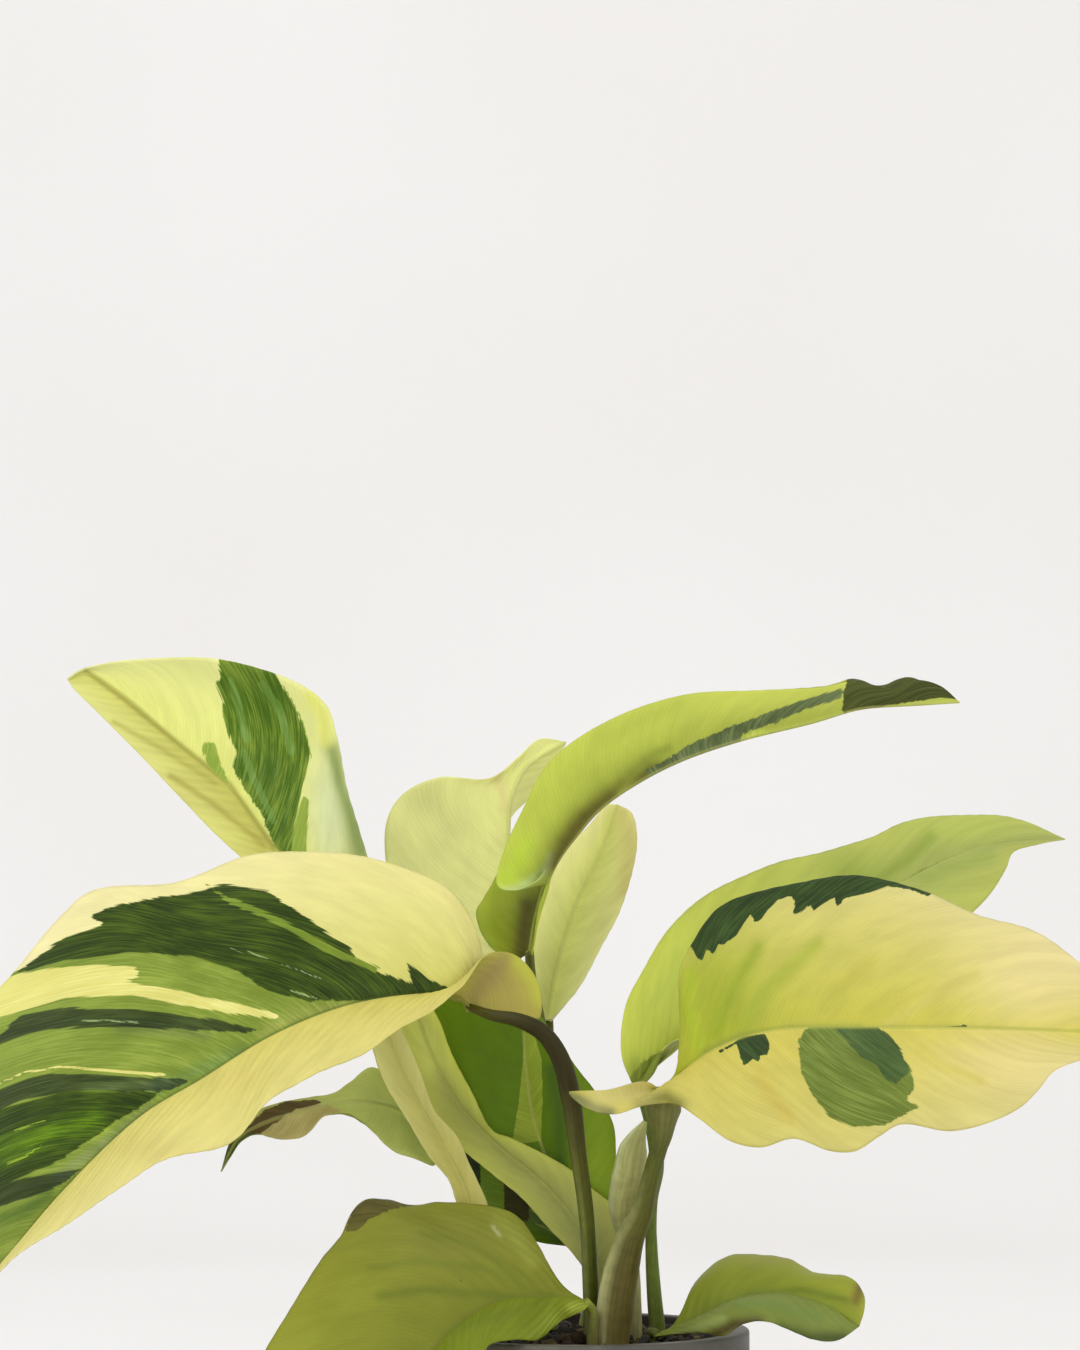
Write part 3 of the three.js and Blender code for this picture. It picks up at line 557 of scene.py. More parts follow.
FRONT_RIGHT = {
    "name": "front_right", "slot": "variegated_blade", "seen": ("upper",),
    "crowding": 1.7, "lead": (0.8, 0.62), "puff": (3, 2), "stub": 1.8, "lobe": (0, 3),
    "slant": (45, 30), "wave": (0.4, 0.3),
    "rib": [
        (29, -34, 188), (38, -37, 197), (47, -41, 203), (65, -49, 209), (94, -57, 210),
        (128, -65, 210), (165, -73, 209), (188, -76, 208)
    ],
    "left": [
        (38, -34, 198), (36, -30, 207), (35, -26, 219), (35, -23, 229), (41, -20, 241),
        (50, -18, 251), (64, -17, 257), (78, -17, 260), (98, -19, 262), (120, -26, 256),
        (136, -32, 249), (154, -42, 243), (169, -54, 231), (181, -68, 219)
    ],
    "right": [
        (23, -41, 191.5), (10, -44, 189), (-6, -46, 187.5), (2, -48, 182.5), (12, -48, 181),
        (24, -46, 184), (33, -46, 184), (41, -49, 179), (51, -51, 172), (61, -53, 170),
        (72, -55, 173), (84, -57, 169), (92, -59, 169), (100, -61, 174), (107, -63, 178),
        (123, -66, 176), (136, -68, 179), (146, -70, 184), (152, -71, 190), (157, -72, 196),
        (170, -74, 201)
    ],
    "stem": [
        (12, -18.5), (13.5, -20, 119), (15.5, -21.5, 129), (18, -23.5, 138), (22, -26, 147),
        (24, -28, 155), (26, -30, 163), (28.5, -32, 173), (29, -33, 180)
    ],
    "radii": (5.4, 5.5, 5.6, 6.0, 6.4, 6.3, 6.2, 5.6, 4.9, 4.1, 3.5, 3.1, 2.9, 3.0, 4.2, 6.2, 4.6),
    "upper": (("96a019", "b9b832", "cbbf52", "dcce97"), ("c0b454", "c0b851", "cac152", "dad08b")),
    "under": ("c2b866", "cdc27a", "c6bc70", "d2c884"),
    "rib_tint": "98a042",
    "stem_tint": ("928950", "736d37", "56531c", "54591b", "565c20", "84824a"),
    "stripes": (
        ("564a20", -1.15, 0.42, 0.85, 0.9),
        ("e2e2a0", -2.75, 0.2, 0.95, 0.75),
    ),
    "inks": {
        "mid": ("627329", "7d8e3f"), "dark": ("253713", "3c5522"), "grey": ("3e5426", "536a36"),
        "top": ("6c7448", "7c8458")
    },
    "marks": [
        ("dark", LEFT, 3, [
            (686, 944), (691, 947), (698, 959), (703, 962), (707, 950), (715, 955), (719, 946),
            (726, 944), (737, 936), (744, 924), (752, 914), (755, 924), (762, 919), (767, 910),
            (778, 899), (790, 896), (796, 901), (792, 917), (802, 911), (810, 904), (812, 912),
            (826, 903), (834, 898), (838, 909), (844, 899), (869, 894), (888, 887), (907, 890),
            (928, 898), (935, 892), (888, 862), (861, 852), (810, 860), (768, 868), (730, 885),
            (700, 905)
        ]),
        ("dark", RIGHT, 3, [
            (736, 1041), (744, 1036), (766, 1034), (770, 1046), (768, 1055), (761, 1056), (758, 1063),
            (754, 1059), (744, 1066), (740, 1055)
        ]),
        ("mid", RIGHT, 2, [
            (798, 1040), (801, 1070), (812, 1095), (830, 1117), (853, 1127), (883, 1126), (902, 1116),
            (921, 1106), (906, 1101), (915, 1087), (911, 1070), (896, 1043), (878, 1028), (840, 1020),
            (812, 1022)
        ]),
        ("grey", RIGHT, 2, [
            (828, 1022), (850, 1044), (861, 1057), (877, 1066), (886, 1080), (896, 1084), (910, 1072),
            (901, 1050), (890, 1034), (870, 1024)
        ]),
    ],
    "strokes": [
        ("dark", LEFT, 3.4, [(944, 1029), (966, 1027)]),
        ("dark", RIGHT, 2.6, [(720, 1052), (738, 1042), (750, 1037)]),
        ("top", RIGHT, 2.0, [(561, 1095), (575, 1100), (596, 1112), (622, 1116)]),
    ],
    "blobs": [
        (LEFT, 715, 1000, 50, 70, "96a222", 0.85),
        (RIGHT, 1010, 1060, 70, 40, "e6d398", 0.5),
        (LEFT, 1030, 980, 60, 50, "e2d296", 0.6),
    ],
    "washes": [
        (LEFT, 7, "8c9c26", 0.75, [(716, 1034), (726, 1004), (742, 974), (758, 948)]),
        (LEFT, 8, "96a430", 0.65, [(746, 1024), (762, 996), (790, 968), (818, 944)]),
        (LEFT, 7, "b4ae48", 0.5, [(806, 1024), (834, 992), (870, 962)]),
        (LEFT, 6, "c4b862", 0.5, [(890, 1024), (930, 998), (975, 975)]),
        (LEFT, 9, "a4b42c", 0.8, [(690, 975), (688, 1010), (700, 1045)]),
        (LEFT, 4, "8c963c", 0.8, [(706, 1052), (740, 1036), (790, 1029), (860, 1028)]),
        (LEFT, 3, "a8a450", 0.6, [(870, 1028), (960, 1027), (1060, 1033)]),
        (RIGHT, 8, "c2b04e", 0.6, [(760, 1075), (772, 1098), (790, 1118)]),
        (RIGHT, 9, "77752e", 0.95, [(642, 1106), (654, 1100), (666, 1098), (678, 1106)]),
        (RIGHT, 6, "6c7044", 0.95, [(566, 1094), (580, 1100), (594, 1107), (610, 1112)]),
        (RIGHT, 14, "c6bc78", 0.7, [(600, 1096), (640, 1092)]),
        (RIGHT, 6, "c6ba58", 0.6, [(980, 1080), (940, 1066), (920, 1050)]),
    ],
}

UPRIGHT = {
    "name": "upright", "slot": "green_blade", "seen": ("upper",),
    "crowding": 1.3, "lead": (0.85, 0.85), "puff": (3, 3), "stub": 1.4, "lobe": (0, 0),
    "slant": (16, 16), "wave": (0.3, 0.3),
    "rib": [
        (5, 16, 132), (-6, 18, 152), (-15, 20, 176), (-18, 20, 197), (-20, 18, 217), (-24, 15, 226)
    ],
    "left": [
        (-16, 20, 134), (-34, 24, 145), (-49, 28, 163), (-56, 29, 186), (-57, 28, 207),
        (-46, 24, 223)
    ],
    "right": [
        (12, 12, 136), (15, 10, 147), (14, 11, 163), (13, 12, 175), (7, 14, 186), (0, 16, 195),
        (-9, 18, 208), (-17, 17, 219)
    ],
    "stem": [(10, 11), (8, 14, 113)],
    "radii": (2.4, 2, 1.6),
    "upper": ("5d7f0b", "607d0c", "5f7e0e", "69860f"),
    "under": ("7c8c40", "85944a", "7f8f44", "8a9850"),
    "inks": {
        "mid": ("90a331", "9eb13b"), "top": ("8c9a4c", "98a458"), "dark": ("232f0c", "2f3d12"),
        "light": ("6c8a20", "7c982c"), "grey": ("3c3a16", "4a4820")
    },
    "marks": [
        ("mid", LEFT, 8, [
            (524, 1030), (534, 1030), (545, 1140), (512, 1145), (519, 1100), (523, 1060)
        ]),
        ("mid", RIGHT, 8, [
            (524, 1030), (534, 1033), (542, 1060), (543, 1100), (541, 1150), (512, 1148)
        ]),
        ("dark", LEFT, 3, [
            (455, 1126), (462, 1132), (480, 1152), (481, 1200), (474, 1200), (464, 1160)
        ]),
        ("light", LEFT, 3, [(480, 1150), (504, 1172), (506, 1215), (482, 1206)]),
        ("grey", LEFT, 3, [(504, 1172), (529, 1190), (529, 1222), (505, 1216)]),
    ],
    "strokes": [
        ("top", LEFT, 2.0, [(530, 1209), (548, 1218), (574, 1240)]),
        ("top", LEFT, 1.8, [(532, 1220), (552, 1232), (570, 1244)]),
    ],
    "blobs": [
        (RIGHT, 602, 1165, 26, 70, "8ca628", 1.0),
    ],
    "washes": [
        (LEFT, 12, "5c6c40", 0.85, [(536, 1214), (574, 1238)]),
        (RIGHT, 9, "3c5a1c", 0.7, [(552, 1070), (560, 1110), (562, 1160)]),
    ],
}

INNER = {
    "name": "inner", "slot": "green_blade", "seen": ("under",),
    "crowding": 1.3, "lead": (0.85, 0.85), "puff": (1, 1), "stub": 1.4, "lobe": (0, 0),
    "slant": (16, 16), "wave": (0.3, 0.3),
    "rib": [
        (10, 2, 114), (5, 4, 132), (-10, 8, 152), (-29, 12, 168), (-43, 14, 183), (-52, 12, 201),
        (-57, 8, 215), (-60, 4, 224)
    ],
    "left": [
        (16, 3, 128), (16, 5, 143), (5, 9, 153), (-2, 12, 159), (-23, 16, 170), (-30, 18, 173),
        (-38, 20, 187), (-45, 18, 201), (-49, 14, 212), (-54, 9, 220)
    ],
    "right": [
        (3, 1, 124), (-3, 1, 132), (-13, 3, 143), (-20, 4, 150), (-30, 6, 158), (-39, 9, 165),
        (-54, 11, 178), (-60, 10, 193), (-63, 8, 206), (-63, 6, 215)
    ],
    "stem": [(10, 2)],
    "radii": (2.6, 2, 1.6),
    "upper": ("7c8c34", "8a9a3c", "86963a", "98a544"),
    "under": ("8f935a", "989b58", "b2b65c", "f0f66c"),
    "rib_tint": "a0a450",
    "washes": [
        (BOTH, 16, "eef47c", 0.6, [(412, 1020), (430, 1062)]),
    ],
}

NARROW = {
    "name": "narrow", "slot": "pale_blade", "seen": ("under",),
    "crowding": 1.2, "lead": (0.9, 0.9), "puff": (1, 1), "stub": 1.3, "lobe": (0, 0),
    "slant": (12, 12), "wave": (0.2, 0.2),
    "rib": [
        (-36, -2, 136), (-40, -1, 153), (-50, 1, 172), (-60, 1, 190), (-66, 0, 205), (-70, -2, 218)
    ],
    "left": [
        (-31, 1, 145), (-35, 2, 156), (-38, 3, 162), (-42, 3, 171), (-50, 4, 180), (-55, 4, 193),
        (-60, 3, 205), (-65, 1, 214)
    ],
    "right": [
        (-41, -4, 145), (-45, -5, 157), (-51, -5, 164), (-59, -5, 176), (-67, -5, 190),
        (-71, -5, 200), (-73, -4, 211)
    ],
    "stem": [(-12, -4), (-19, -3, 113), (-29, -2, 125)],
    "radii": (2.4, 1.9, 1.6),
    "upper": ("8a9442", "969e4c", "8f984a", "a0a656"),
    "under": ("c0b95d", "cfc673", "d3cf7a", "e9e795"),
}

LOW_LEFT = {
    "name": "low_left", "slot": "green_blade", "seen": ("under",),
    "crowding": 1.2, "lead": (0.9, 0.85), "puff": (1, 1), "stub": 1.3, "lobe": (0, 0),
    "slant": (12, 12), "wave": (0.2, 0.2),
    "rib": [
        (-54, 9, 175), (-66, 8, 181), (-80, 3, 183), (-93, -4, 180), (-107, -10, 177),
        (-117, -16, 171), (-123, -20, 160)
    ],
    "left": [
        (-60, 14, 187), (-73, 16, 195), (-80, 13, 190), (-86, 9, 186), (-94, 4, 185), (-105, -2, 183),
        (-114, -8, 179), (-120, -15, 171)
    ],
    "right": [
        (-50, 6, 161), (-57, 3, 163.5), (-64, 2, 166), (-74, -1, 175), (-80, -4, 179), (-88, -8, 179),
        (-95, -10, 172), (-104, -14, 171), (-111, -16, 173), (-116, -18, 171), (-120, -19, 165)
    ],
    "stem": [(-14, 6), (-20, 8, 114), (-29, 10, 127), (-38, 12, 146), (-46, 12, 161)],
    "radii": (2.4, 2, 1.8, 1.6),
    "upper": ("6c7a2c", "7a8836", "727e30", "808c3c"),
    "under": ("ccdb7a", "dfec86", "bdc16f", "a5a257"),
    "inks": {
        "light": ("bcb070", "c8bc7e"), "dark": ("5a4a26", "6c5c34"), "top": ("4c5a22", "5c6a2c")
    },
    "marks": [
        ("light", BOTH, 3, [
            (262, 1128), (290, 1112), (318, 1104), (341, 1111), (330, 1126), (306, 1138), (280, 1142),
            (256, 1138)
        ]),
        ("dark", BOTH, 3, [
            (226, 1166), (228, 1148), (240, 1136), (262, 1112), (286, 1101), (318, 1100), (322, 1104),
            (296, 1110), (274, 1124), (255, 1138), (240, 1150)
        ]),
        ("top", BOTH, 3, [
            (214, 1176), (224, 1148), (238, 1138), (252, 1132), (246, 1146), (232, 1162)
        ]),
    ],
}

RIM_LEFT = {
    "name": "rim_left", "slot": "green_blade", "seen": ("upper",),
    "crowding": 1.3, "lead": (0.85, 0.75), "puff": (2, 5), "stub": 1.4, "lobe": (0, 0),
    "slant": (20, 30), "wave": (0.4, 0.4),
    "rib": [
        (3, -27, 116), (1, -29, 118), (-10, -36, 119), (-26, -48, 119), (-42, -64, 111),
        (-51, -74, 100), (-63, -88, 86), (-77, -99, 69), (-89, -104, 55)
    ],
    "left": [
        (2, -30, 114), (-6, -38, 111), (-13, -48, 106), (-22, -60, 107), (-30, -70, 106),
        (-33, -84, 94), (-42, -96, 79), (-57, -104, 66), (-75, -106, 57)
    ],
    "right": [
        (-0.5, -26, 117), (-7, -24, 115.5), (-12, -21.5, 118.5), (-15, -17, 126), (-16, -13, 133),
        (-18, -10, 140), (-23.5, -9, 145), (-34, -10, 148), (-48, -16, 150), (-57, -22, 149),
        (-66, -28, 151), (-73, -33, 151), (-77, -38, 147), (-80, -46, 140), (-86, -56, 133),
        (-92, -65, 124), (-97, -73, 115), (-103, -81, 104), (-108, -90, 91), (-107, -98, 76),
        (-99, -103, 61)
    ],
    "stem": [(5, -25), (5, -25, 108), (5, -25.5, 113)],
    "radii": (2.4, 2.2, 1.6),
    "upper": (("737e1b", "75811b", "68781b", "72831b"), ("787c27", "939638", "6d751d", "8c912b")),
    "under": ("8f9550", "9aa05a", "949a54", "a0a662"),
    "rib_tint": "6c7426",
    "stem_tint": ("5c4c28", "5a4e26", "6a6a30", "8c9438"),
    "inks": {"dark": ("565024", "6a6432")},
    "marks": [
        # Painted shade on the margin's curled-back flap
        ("dark", RIGHT, 3, [
            (345, 1232), (352, 1212), (365, 1201), (385, 1198), (404, 1198), (414, 1206), (392, 1210),
            (372, 1219), (356, 1232)
        ]),
    ],
    "strokes": [
        ("dark", RIGHT, 2.0, [(496, 1229), (497, 1231)]),
        ("dark", RIGHT, 1.8, [(415, 1264), (416, 1265)]),
        ("dark", RIGHT, 1.8, [(460, 1281), (461, 1282)]),
    ],
    "blobs": [
        (RIGHT, 440, 1240, 70, 34, "7e8034", 0.7),
    ],
    "washes": [
        (RIGHT, 5, "5e6c1e", 0.6, [(552, 1296), (520, 1299), (478, 1294), (430, 1290), (380, 1296)]),
        (RIGHT, 4, "6c7826", 0.5, [(530, 1290), (480, 1268), (420, 1262), (370, 1268)]),
        (RIGHT, 4, "6c7826", 0.5, [(520, 1276), (470, 1244), (420, 1234)]),
        (LEFT, 5, "66741e", 0.5, [(548, 1300), (500, 1316), (450, 1330)]),
        (RIGHT, 8, "9aa044", 0.5, [(500, 1220), (520, 1245), (532, 1262)]),
        (RIGHT, 6, "a8b444", 0.8, [(572, 1304), (592, 1302)]),
        (LEFT, 6, "a8b444", 0.8, [(572, 1308), (592, 1306)]),
        (RIGHT, 1.8, "bcc088", 0.8, [(493, 1227), (499, 1236)]),
        (LEFT, 9, "9cac3c", 0.6, [(552, 1322), (530, 1340)]),
    ],
}

RIM_RIGHT = {
    "name": "rim_right", "slot": "green_blade", "seen": ("upper",),
    "crowding": 1.3, "lead": (0.85, 0.85), "puff": (3, 3), "stub": 1.3, "lobe": (0, 0),
    "slant": (16, 16), "wave": (0.3, 0.3),
    "rib": [
        (26.5, -18, 104.5), (38, -23, 109), (52, -29, 117), (68, -34, 120), (84, -36, 116),
        (95, -36, 109)
    ],
    "left": [
        (36, -17, 106), (37.8, -13.5, 112), (40.5, -10, 121.5), (51.5, -10, 130), (63, -12, 131),
        (73, -16, 130), (81, -22, 126), (93, -28, 125), (97, -32, 120), (97, -35, 115)
    ],
    "right": [
        (34, -26, 105.5), (43, -38, 107), (49, -46, 107), (55, -48, 111), (62, -50, 112),
        (71, -50, 109), (79, -47, 106), (87, -42, 105)
    ],
    "stem": [(25, -11.5)],
    "radii": (2.4, 2, 1.6),
    "upper": (("646f1b", "8c962b", "828e2e", "9a9e38"), ("6c782a", "78822f", "7c8a42", "74823c")),
    "under": ("8c9a56", "98a462", "909c58", "9ca866"),
    "rib_tint": "6f7a2c",
    "blobs": [
        (LEFT, 800, 1250, 50, 10, "a08a50", 0.4),
    ],
    "washes": [
        (RIGHT, 7, "3c4a1c", 0.85, [(781, 1330), (810, 1338), (842, 1338)]),
        (RIGHT, 7, "3c2a14", 0.9, [(716, 1334), (735, 1325), (758, 1324)]),
        # Painted highlight along the blade's lower edge
        (RIGHT, 5, "9aa868", 0.5, [(664, 1343), (690, 1330), (722, 1319)]),
        (RIGHT, 6, "6c8240", 0.6, [(740, 1306), (775, 1306), (818, 1318)]),
        (LEFT, 4, "5c6c20", 0.6, [(712, 1318), (750, 1296), (800, 1290), (845, 1300)]),
        (RIGHT, 7, "5c4a24", 0.95, [(858, 1294), (854, 1312)]),
        (LEFT, 6, "6c5a30", 0.8, [(860, 1288), (856, 1300)]),
    ],
}

LEAVES = (
    FRONT_LEFT, TOP_LEFT, BACK_CENTRE, ARCHING, SMALL_BACK, BACK_RIGHT, FRONT_RIGHT, UPRIGHT, INNER,
    NARROW, LOW_LEFT, RIM_LEFT, RIM_RIGHT
)

SPEAR = {
    "name": "rolled_leaf",
    "path": [
        (20, -3, STEM_FOOT), (20, -3, 98), (20, -3, STEM_STRAIGHT), (19, -6, 126), (16, -9, 141),
        (16, -11, 150), (18, -12, 158), (19, -13, 166), (20.5, -13, 171), (23.5, -12, 177)
    ],
    "radii": (3, 2.8, 2.6, 2.5, 2.6, 2.8, 5, 6.2, 5.0, 0.8),
    "tints": ("8c8a58", "a8a672", "a6a66a", "a2a262", "a8aa6c"),
    "stripes": (
        ("c6cc98", -2.9, 0.12, 0.9, 3.0),
        ("8c8048", -1.2, 0.15, 0.35, 1.4),
    ),
}


def colour(code):
    """Linear red, green and blue of a hexadecimal display colour."""
    values = np.array([int(code[i:i + 2], 16) for i in (0, 2, 4)]) / 255.0
    return np.where(values <= 0.04045, values / 12.92, ((values + 0.055) / 1.055) ** 2.4)


def unit(vectors):
    return vectors / np.maximum(np.linalg.norm(vectors, axis=-1, keepdims=True), 1e-9)


class Curve:
    """A centripetal Catmull-Rom curve through points, read by its share of the length."""

    def __init__(self, points):
        given = np.array(points, float)
        ends = np.vstack([2 * given[0] - given[1], given, 2 * given[-1] - given[-2]])
        steps = np.linspace(0.0, 1.0, CURVE_STEPS, endpoint=False)[:, None]
        square = steps ** 2
        cube = steps ** 3
        pieces = []
        for i in range(len(given) - 1):
            a, b, c, d = ends[i:i + 4]
            first = np.linalg.norm(b - a) ** 0.5
            middle = np.linalg.norm(c - b) ** 0.5
            last = np.linalg.norm(d - c) ** 0.5
            start = ((b - a) / first - (c - a) / (first + middle) + (c - b) / middle) * middle
            stop = ((c - b) / middle - (d - b) / (middle + last) + (d - c) / last) * middle
            pieces.append((2 * cube - 3 * square + 1) * b + (cube - 2 * square + steps) * start
                          + (3 * square - 2 * cube) * c + (cube - square) * stop)
        self.points = np.vstack(pieces + [given[-1:]])
        lengths = np.linalg.norm(np.diff(self.points, axis=0), axis=1)
        self.length = lengths.sum()
        self.shares = np.concatenate([[0.0], np.cumsum(lengths)]) / self.length

    def at(self, share):
        return np.stack([np.interp(share, self.shares, self.points[:, k]) for k in range(3)], -1)

    def tangent(self, share):
        ahead = self.at(np.minimum(share + TANGENT_STEP, 1.0))
        behind = self.at(np.maximum(share - TANGENT_STEP, 0.0))
        return unit(ahead - behind)

    def share_of_point(self, index):
        return self.shares[index * CURVE_STEPS]


def to_pixels(points):
    """Where the points show in the photograph's frame."""
    pitch = math.radians(CAMERA_PITCH)
    offset = points - CAMERA_PLACE
    ahead = offset[..., 1] * math.cos(pitch) + offset[..., 2] * math.sin(pitch)
    above = offset[..., 2] * math.cos(pitch) - offset[..., 1] * math.sin(pitch)
    focal = LENS / SENSOR * IMAGE_HEIGHT
    return np.stack([IMAGE_WIDTH / 2 + focal * offset[..., 0] / ahead,
                     IMAGE_HEIGHT / 2 - focal * above / ahead], -1)


def distance_to_line(points, line, closed=False):
    """Shortest distance from each point to a chain of straight pieces."""
    corners = np.array(line, float)
    others = np.roll(corners, -1, axis=0) if closed else corners[1:]
    best = np.full(points.shape[:-1], np.inf)
    for a, b in zip(corners, others):
        way = b - a
        share = np.clip(((points - a) @ way) / max(way @ way, 1e-9), 0.0, 1.0)
        best = np.minimum(best, np.linalg.norm(points - a - share[..., None] * way, axis=-1))
    return best


def inside(points, outline):
    corners = np.array(outline, float)
    within = np.zeros(points.shape[:-1], bool)
    for (ax, ay), (bx, by) in zip(corners, np.roll(corners, -1, axis=0)):
        if ay == by:
            continue
        spans = (ay > points[..., 1]) != (by > points[..., 1])
        crossing = ax + (points[..., 1] - ay) * (bx - ax) / (by - ay)
        within ^= spans & (points[..., 0] < crossing)
    return within


def patch_depth(points, outline):
    """Distance to the outline, positive within it."""
    distance = distance_to_line(points, outline, closed=True)
    return np.where(inside(points, outline), distance, -distance)


def margins_of(leaf, rib):
    """Curves along both margins. They start beside the midrib's first point."""
    base = np.array(leaf["rib"][0], float)
    tip = leaf["rib"][-1]
    tangent = rib.tangent(0.0)
    middle = Curve([base, *leaf["left"], tip]).at(0.5) - rib.at(0.5)
    sideways = unit(middle - tangent * (middle @ tangent))
    return [Curve([base + sign * leaf["stub"] * sideways, *leaf[side], tip])
            for sign, side in ((1, "left"), (-1, "right"))]


def margin_shares(margin, leaf, side, share):
    """How far along its margin each row ends. A basal lobe's inner edge belongs to the first row."""
    lobe = leaf["lobe"][side]
    start = margin.share_of_point(lobe) if lobe else 0.0
    return start + (1.0 - start) * share ** (leaf["crowding"] * leaf["lead"][side])


def lobe_bend(margin, lobe, base, corner, v):
    """How far the first row, straight from the base to the lobe's corner, bends to the inner edge."""
    inner = margin.at(LOBE_SHARES * margin.share_of_point(lobe))
    inner[0] = base
    return Curve(inner).at(v) - (base + (corner - base) * v[:, None])


def blade_surface(leaf):
    """The blade's middle surface as rows of points from the left margin to the right one."""
    rib = Curve(leaf["rib"])
    margins = margins_of(leaf, rib)
    widest = max(np.linalg.norm(margin.at(WIDEST_SHARE) - rib.at(WIDEST_SHARE)) for margin in margins)
    rows = int(max(margin.length for margin in margins) / ROW_SPACING)
    columns = int(max(FEWEST_COLUMNS, widest / COLUMN_SPACING))
    share = np.linspace(0.0, 1.0 - LAST_ROW_GAP / rows, rows)
    rib_share = share ** leaf["crowding"]
    centre = rib.at(rib_share)
    along = rib.tangent(rib_share)
    v = np.linspace(0.0, 1.0, columns + 1)[1:] ** RIB_DENSITY
    bulge = np.sin(np.pi * share)[:, None, None] * np.sin(np.pi * v)[None, :, None]
    halves = []
    widths = []
    for side, margin in enumerate(margins):
        edge = margin.at(margin_shares(margin, leaf, side, share))
        across = edge - centre
        normal = np.cross(along, across) if side == LEFT else np.cross(across, along)
        dome = leaf["puff"][side] * bulge
        half = centre[:, None] + across[:, None] * v[None, :, None] + unit(normal)[:, None] * dome
        if leaf["lobe"][side]:
            bend = lobe_bend(margin, leaf["lobe"][side], np.array(leaf["rib"][0], float), edge[0], v)
            fade = np.clip(1.0 - share / LOBE_FADE, 0.0, 1.0) ** 2
            half = half + fade[:, None, None] * bend[None]
        halves.append(half)
        widths.append(np.repeat(np.linalg.norm(across, axis=-1)[:, None], columns, 1))
    return {
        "points": np.concatenate([halves[LEFT][:, ::-1], centre[:, None], halves[RIGHT]], axis=1),
        "width": np.concatenate([widths[LEFT], np.zeros((rows, 1)), widths[RIGHT]], axis=1),
        "v": np.concatenate([-v[::-1], [0.0], v]),
        "share": share, "rib_share": rib_share, "rib": rib, "rows": rows, "columns": columns,
    }


def veins_of(leaf, surface):
    """Where along the midrib the side vein through each point springs."""
    v = surface["v"][None, :]
    slant = np.where(v < 0, *leaf["slant"])
    return surface["rib_share"][:, None] * surface["rib"].length - slant * np.abs(v) ** VEIN_CURVE


def relief_of(leaf, surface, vein, seed):
    """Height of the pleats along the side veins and of the slow waves of the margin."""
    draw = np.random.default_rng(seed)
    signed = surface["v"][None, :]
    v = np.abs(signed)
    share = surface["share"][:, None]
    calm = np.clip(share / CALM_BASE, 0.0, 1.0) * np.clip((1.0 - share) / CALM_TIP, 0.0, 1.0)
    pleat = np.sin(2 * np.pi * vein / PLEAT_SPACING + PLEAT_SWAY * np.sin(vein / PLEAT_DRIFT))
    fading = np.clip(v * PLEAT_RISE, 0.0, 1.0) * (PLEAT_AT_RIB - PLEAT_LOSS * v)
    height = PLEAT_HEIGHT * pleat * fading
    run = share * surface["rib"].length
    for side, sign in ((LEFT, -1), (RIGHT, 1)):
        first, second = draw.uniform(0.0, 2 * np.pi, 2)
        wave = (np.sin(run / LONG_WAVE + first)
                + SHORT_WAVE_HEIGHT * np.sin(run / SHORT_WAVE + second))
        height = height + (np.sign(signed) == sign) * leaf["wave"][side] * wave * v ** WAVE_POWER
    return height * calm


def face_colours(leaf, face, surface):
    """Base colours of a face, blended from four corners: rib and margin, base and tip."""
    codes = leaf[face]
    halves = codes if isinstance(codes[0], tuple) else (codes, codes)
    v = surface["v"][None, :]
    share = surface["share"][:, None, None]
    outward = (np.abs(v) ** TINT_CURVE)[..., None]
    blends = []
    for rib_base, margin_base, rib_tip, margin_tip in halves:
        near = colour(rib_base) * (1 - share) + colour(rib_tip) * share
        far = colour(margin_base) * (1 - share) + colour(margin_tip) * share
        blends.append(near * (1 - outward) + far * outward)
    return np.where((v < 0)[..., None], blends[LEFT], blends[RIGHT])


def lay_over(tints, code, amount):
    for face in tints:
        tints[face] = tints[face] * (1 - amount[..., None]) + colour(code) * amount[..., None]


def paint(leaf, surface, pixels):
    """Both faces' base colours, each point's depth within each layer of marks, and the glaze."""
    halves = np.where(surface["v"] < 0, LEFT, RIGHT)[None, :].repeat(surface["rows"], 0)
    tints = {face: face_colours(leaf, face, surface) for face in ("upper", "under")}
    for side, x, y, reach_x, reach_y, code, strength in leaf.get("blobs", ()):
        far = ((pixels[..., 0] - x) / reach_x) ** 2 + ((pixels[..., 1] - y) / reach_y) ** 2
        lay_over(tints, code, strength * np.exp(-far) * np.isin(halves, side))
    for side, reach, code, strength, line in leaf.get("washes", ()):
        far = (distance_to_line(pixels, line) / reach) ** 2
        lay_over(tints, code, strength * np.exp(-far) * np.isin(halves, side))
    glaze = np.ones((*pixels.shape[:2], 3))
    for side, reach, factors, line in leaf.get("glazes", ()):
        amount = np.exp(-(distance_to_line(pixels, line) / reach) ** 2) * np.isin(halves, side)
        glaze *= 1.0 + amount[..., None] * (np.array(factors) - 1.0)
    depths = {layer: np.full(pixels.shape[:2], FAR_OUTSIDE) for layer in LAYERS}
    for layer, side, sharpness, outline in leaf.get("marks", ()):
        depth = np.where(np.isin(halves, side), sharpness * patch_depth(pixels, outline), FAR_OUTSIDE)
        depths[layer] = np.maximum(depths[layer], depth)
    for layer, side, width, line in leaf.get("strokes", ()):
        depth = STROKE_SHARPNESS * (width / 2 - distance_to_line(pixels, line))
        depths[layer] = np.maximum(depths[layer], np.where(np.isin(halves, side), depth, FAR_OUTSIDE))
    return tints, depths, glaze


def add_object(name, vertices, faces, materials):
    mesh = bpy.data.meshes.new(name)
    mesh.from_pydata((vertices * MM).tolist(), [], faces)
    mesh.polygons.foreach_set("use_smooth", [True] * len(faces))
    for material in materials:
        mesh.materials.append(material)
    mesh.update()
    piece = bpy.data.objects.new(name, mesh)
    bpy.context.scene.collection.objects.link(piece)
    return piece


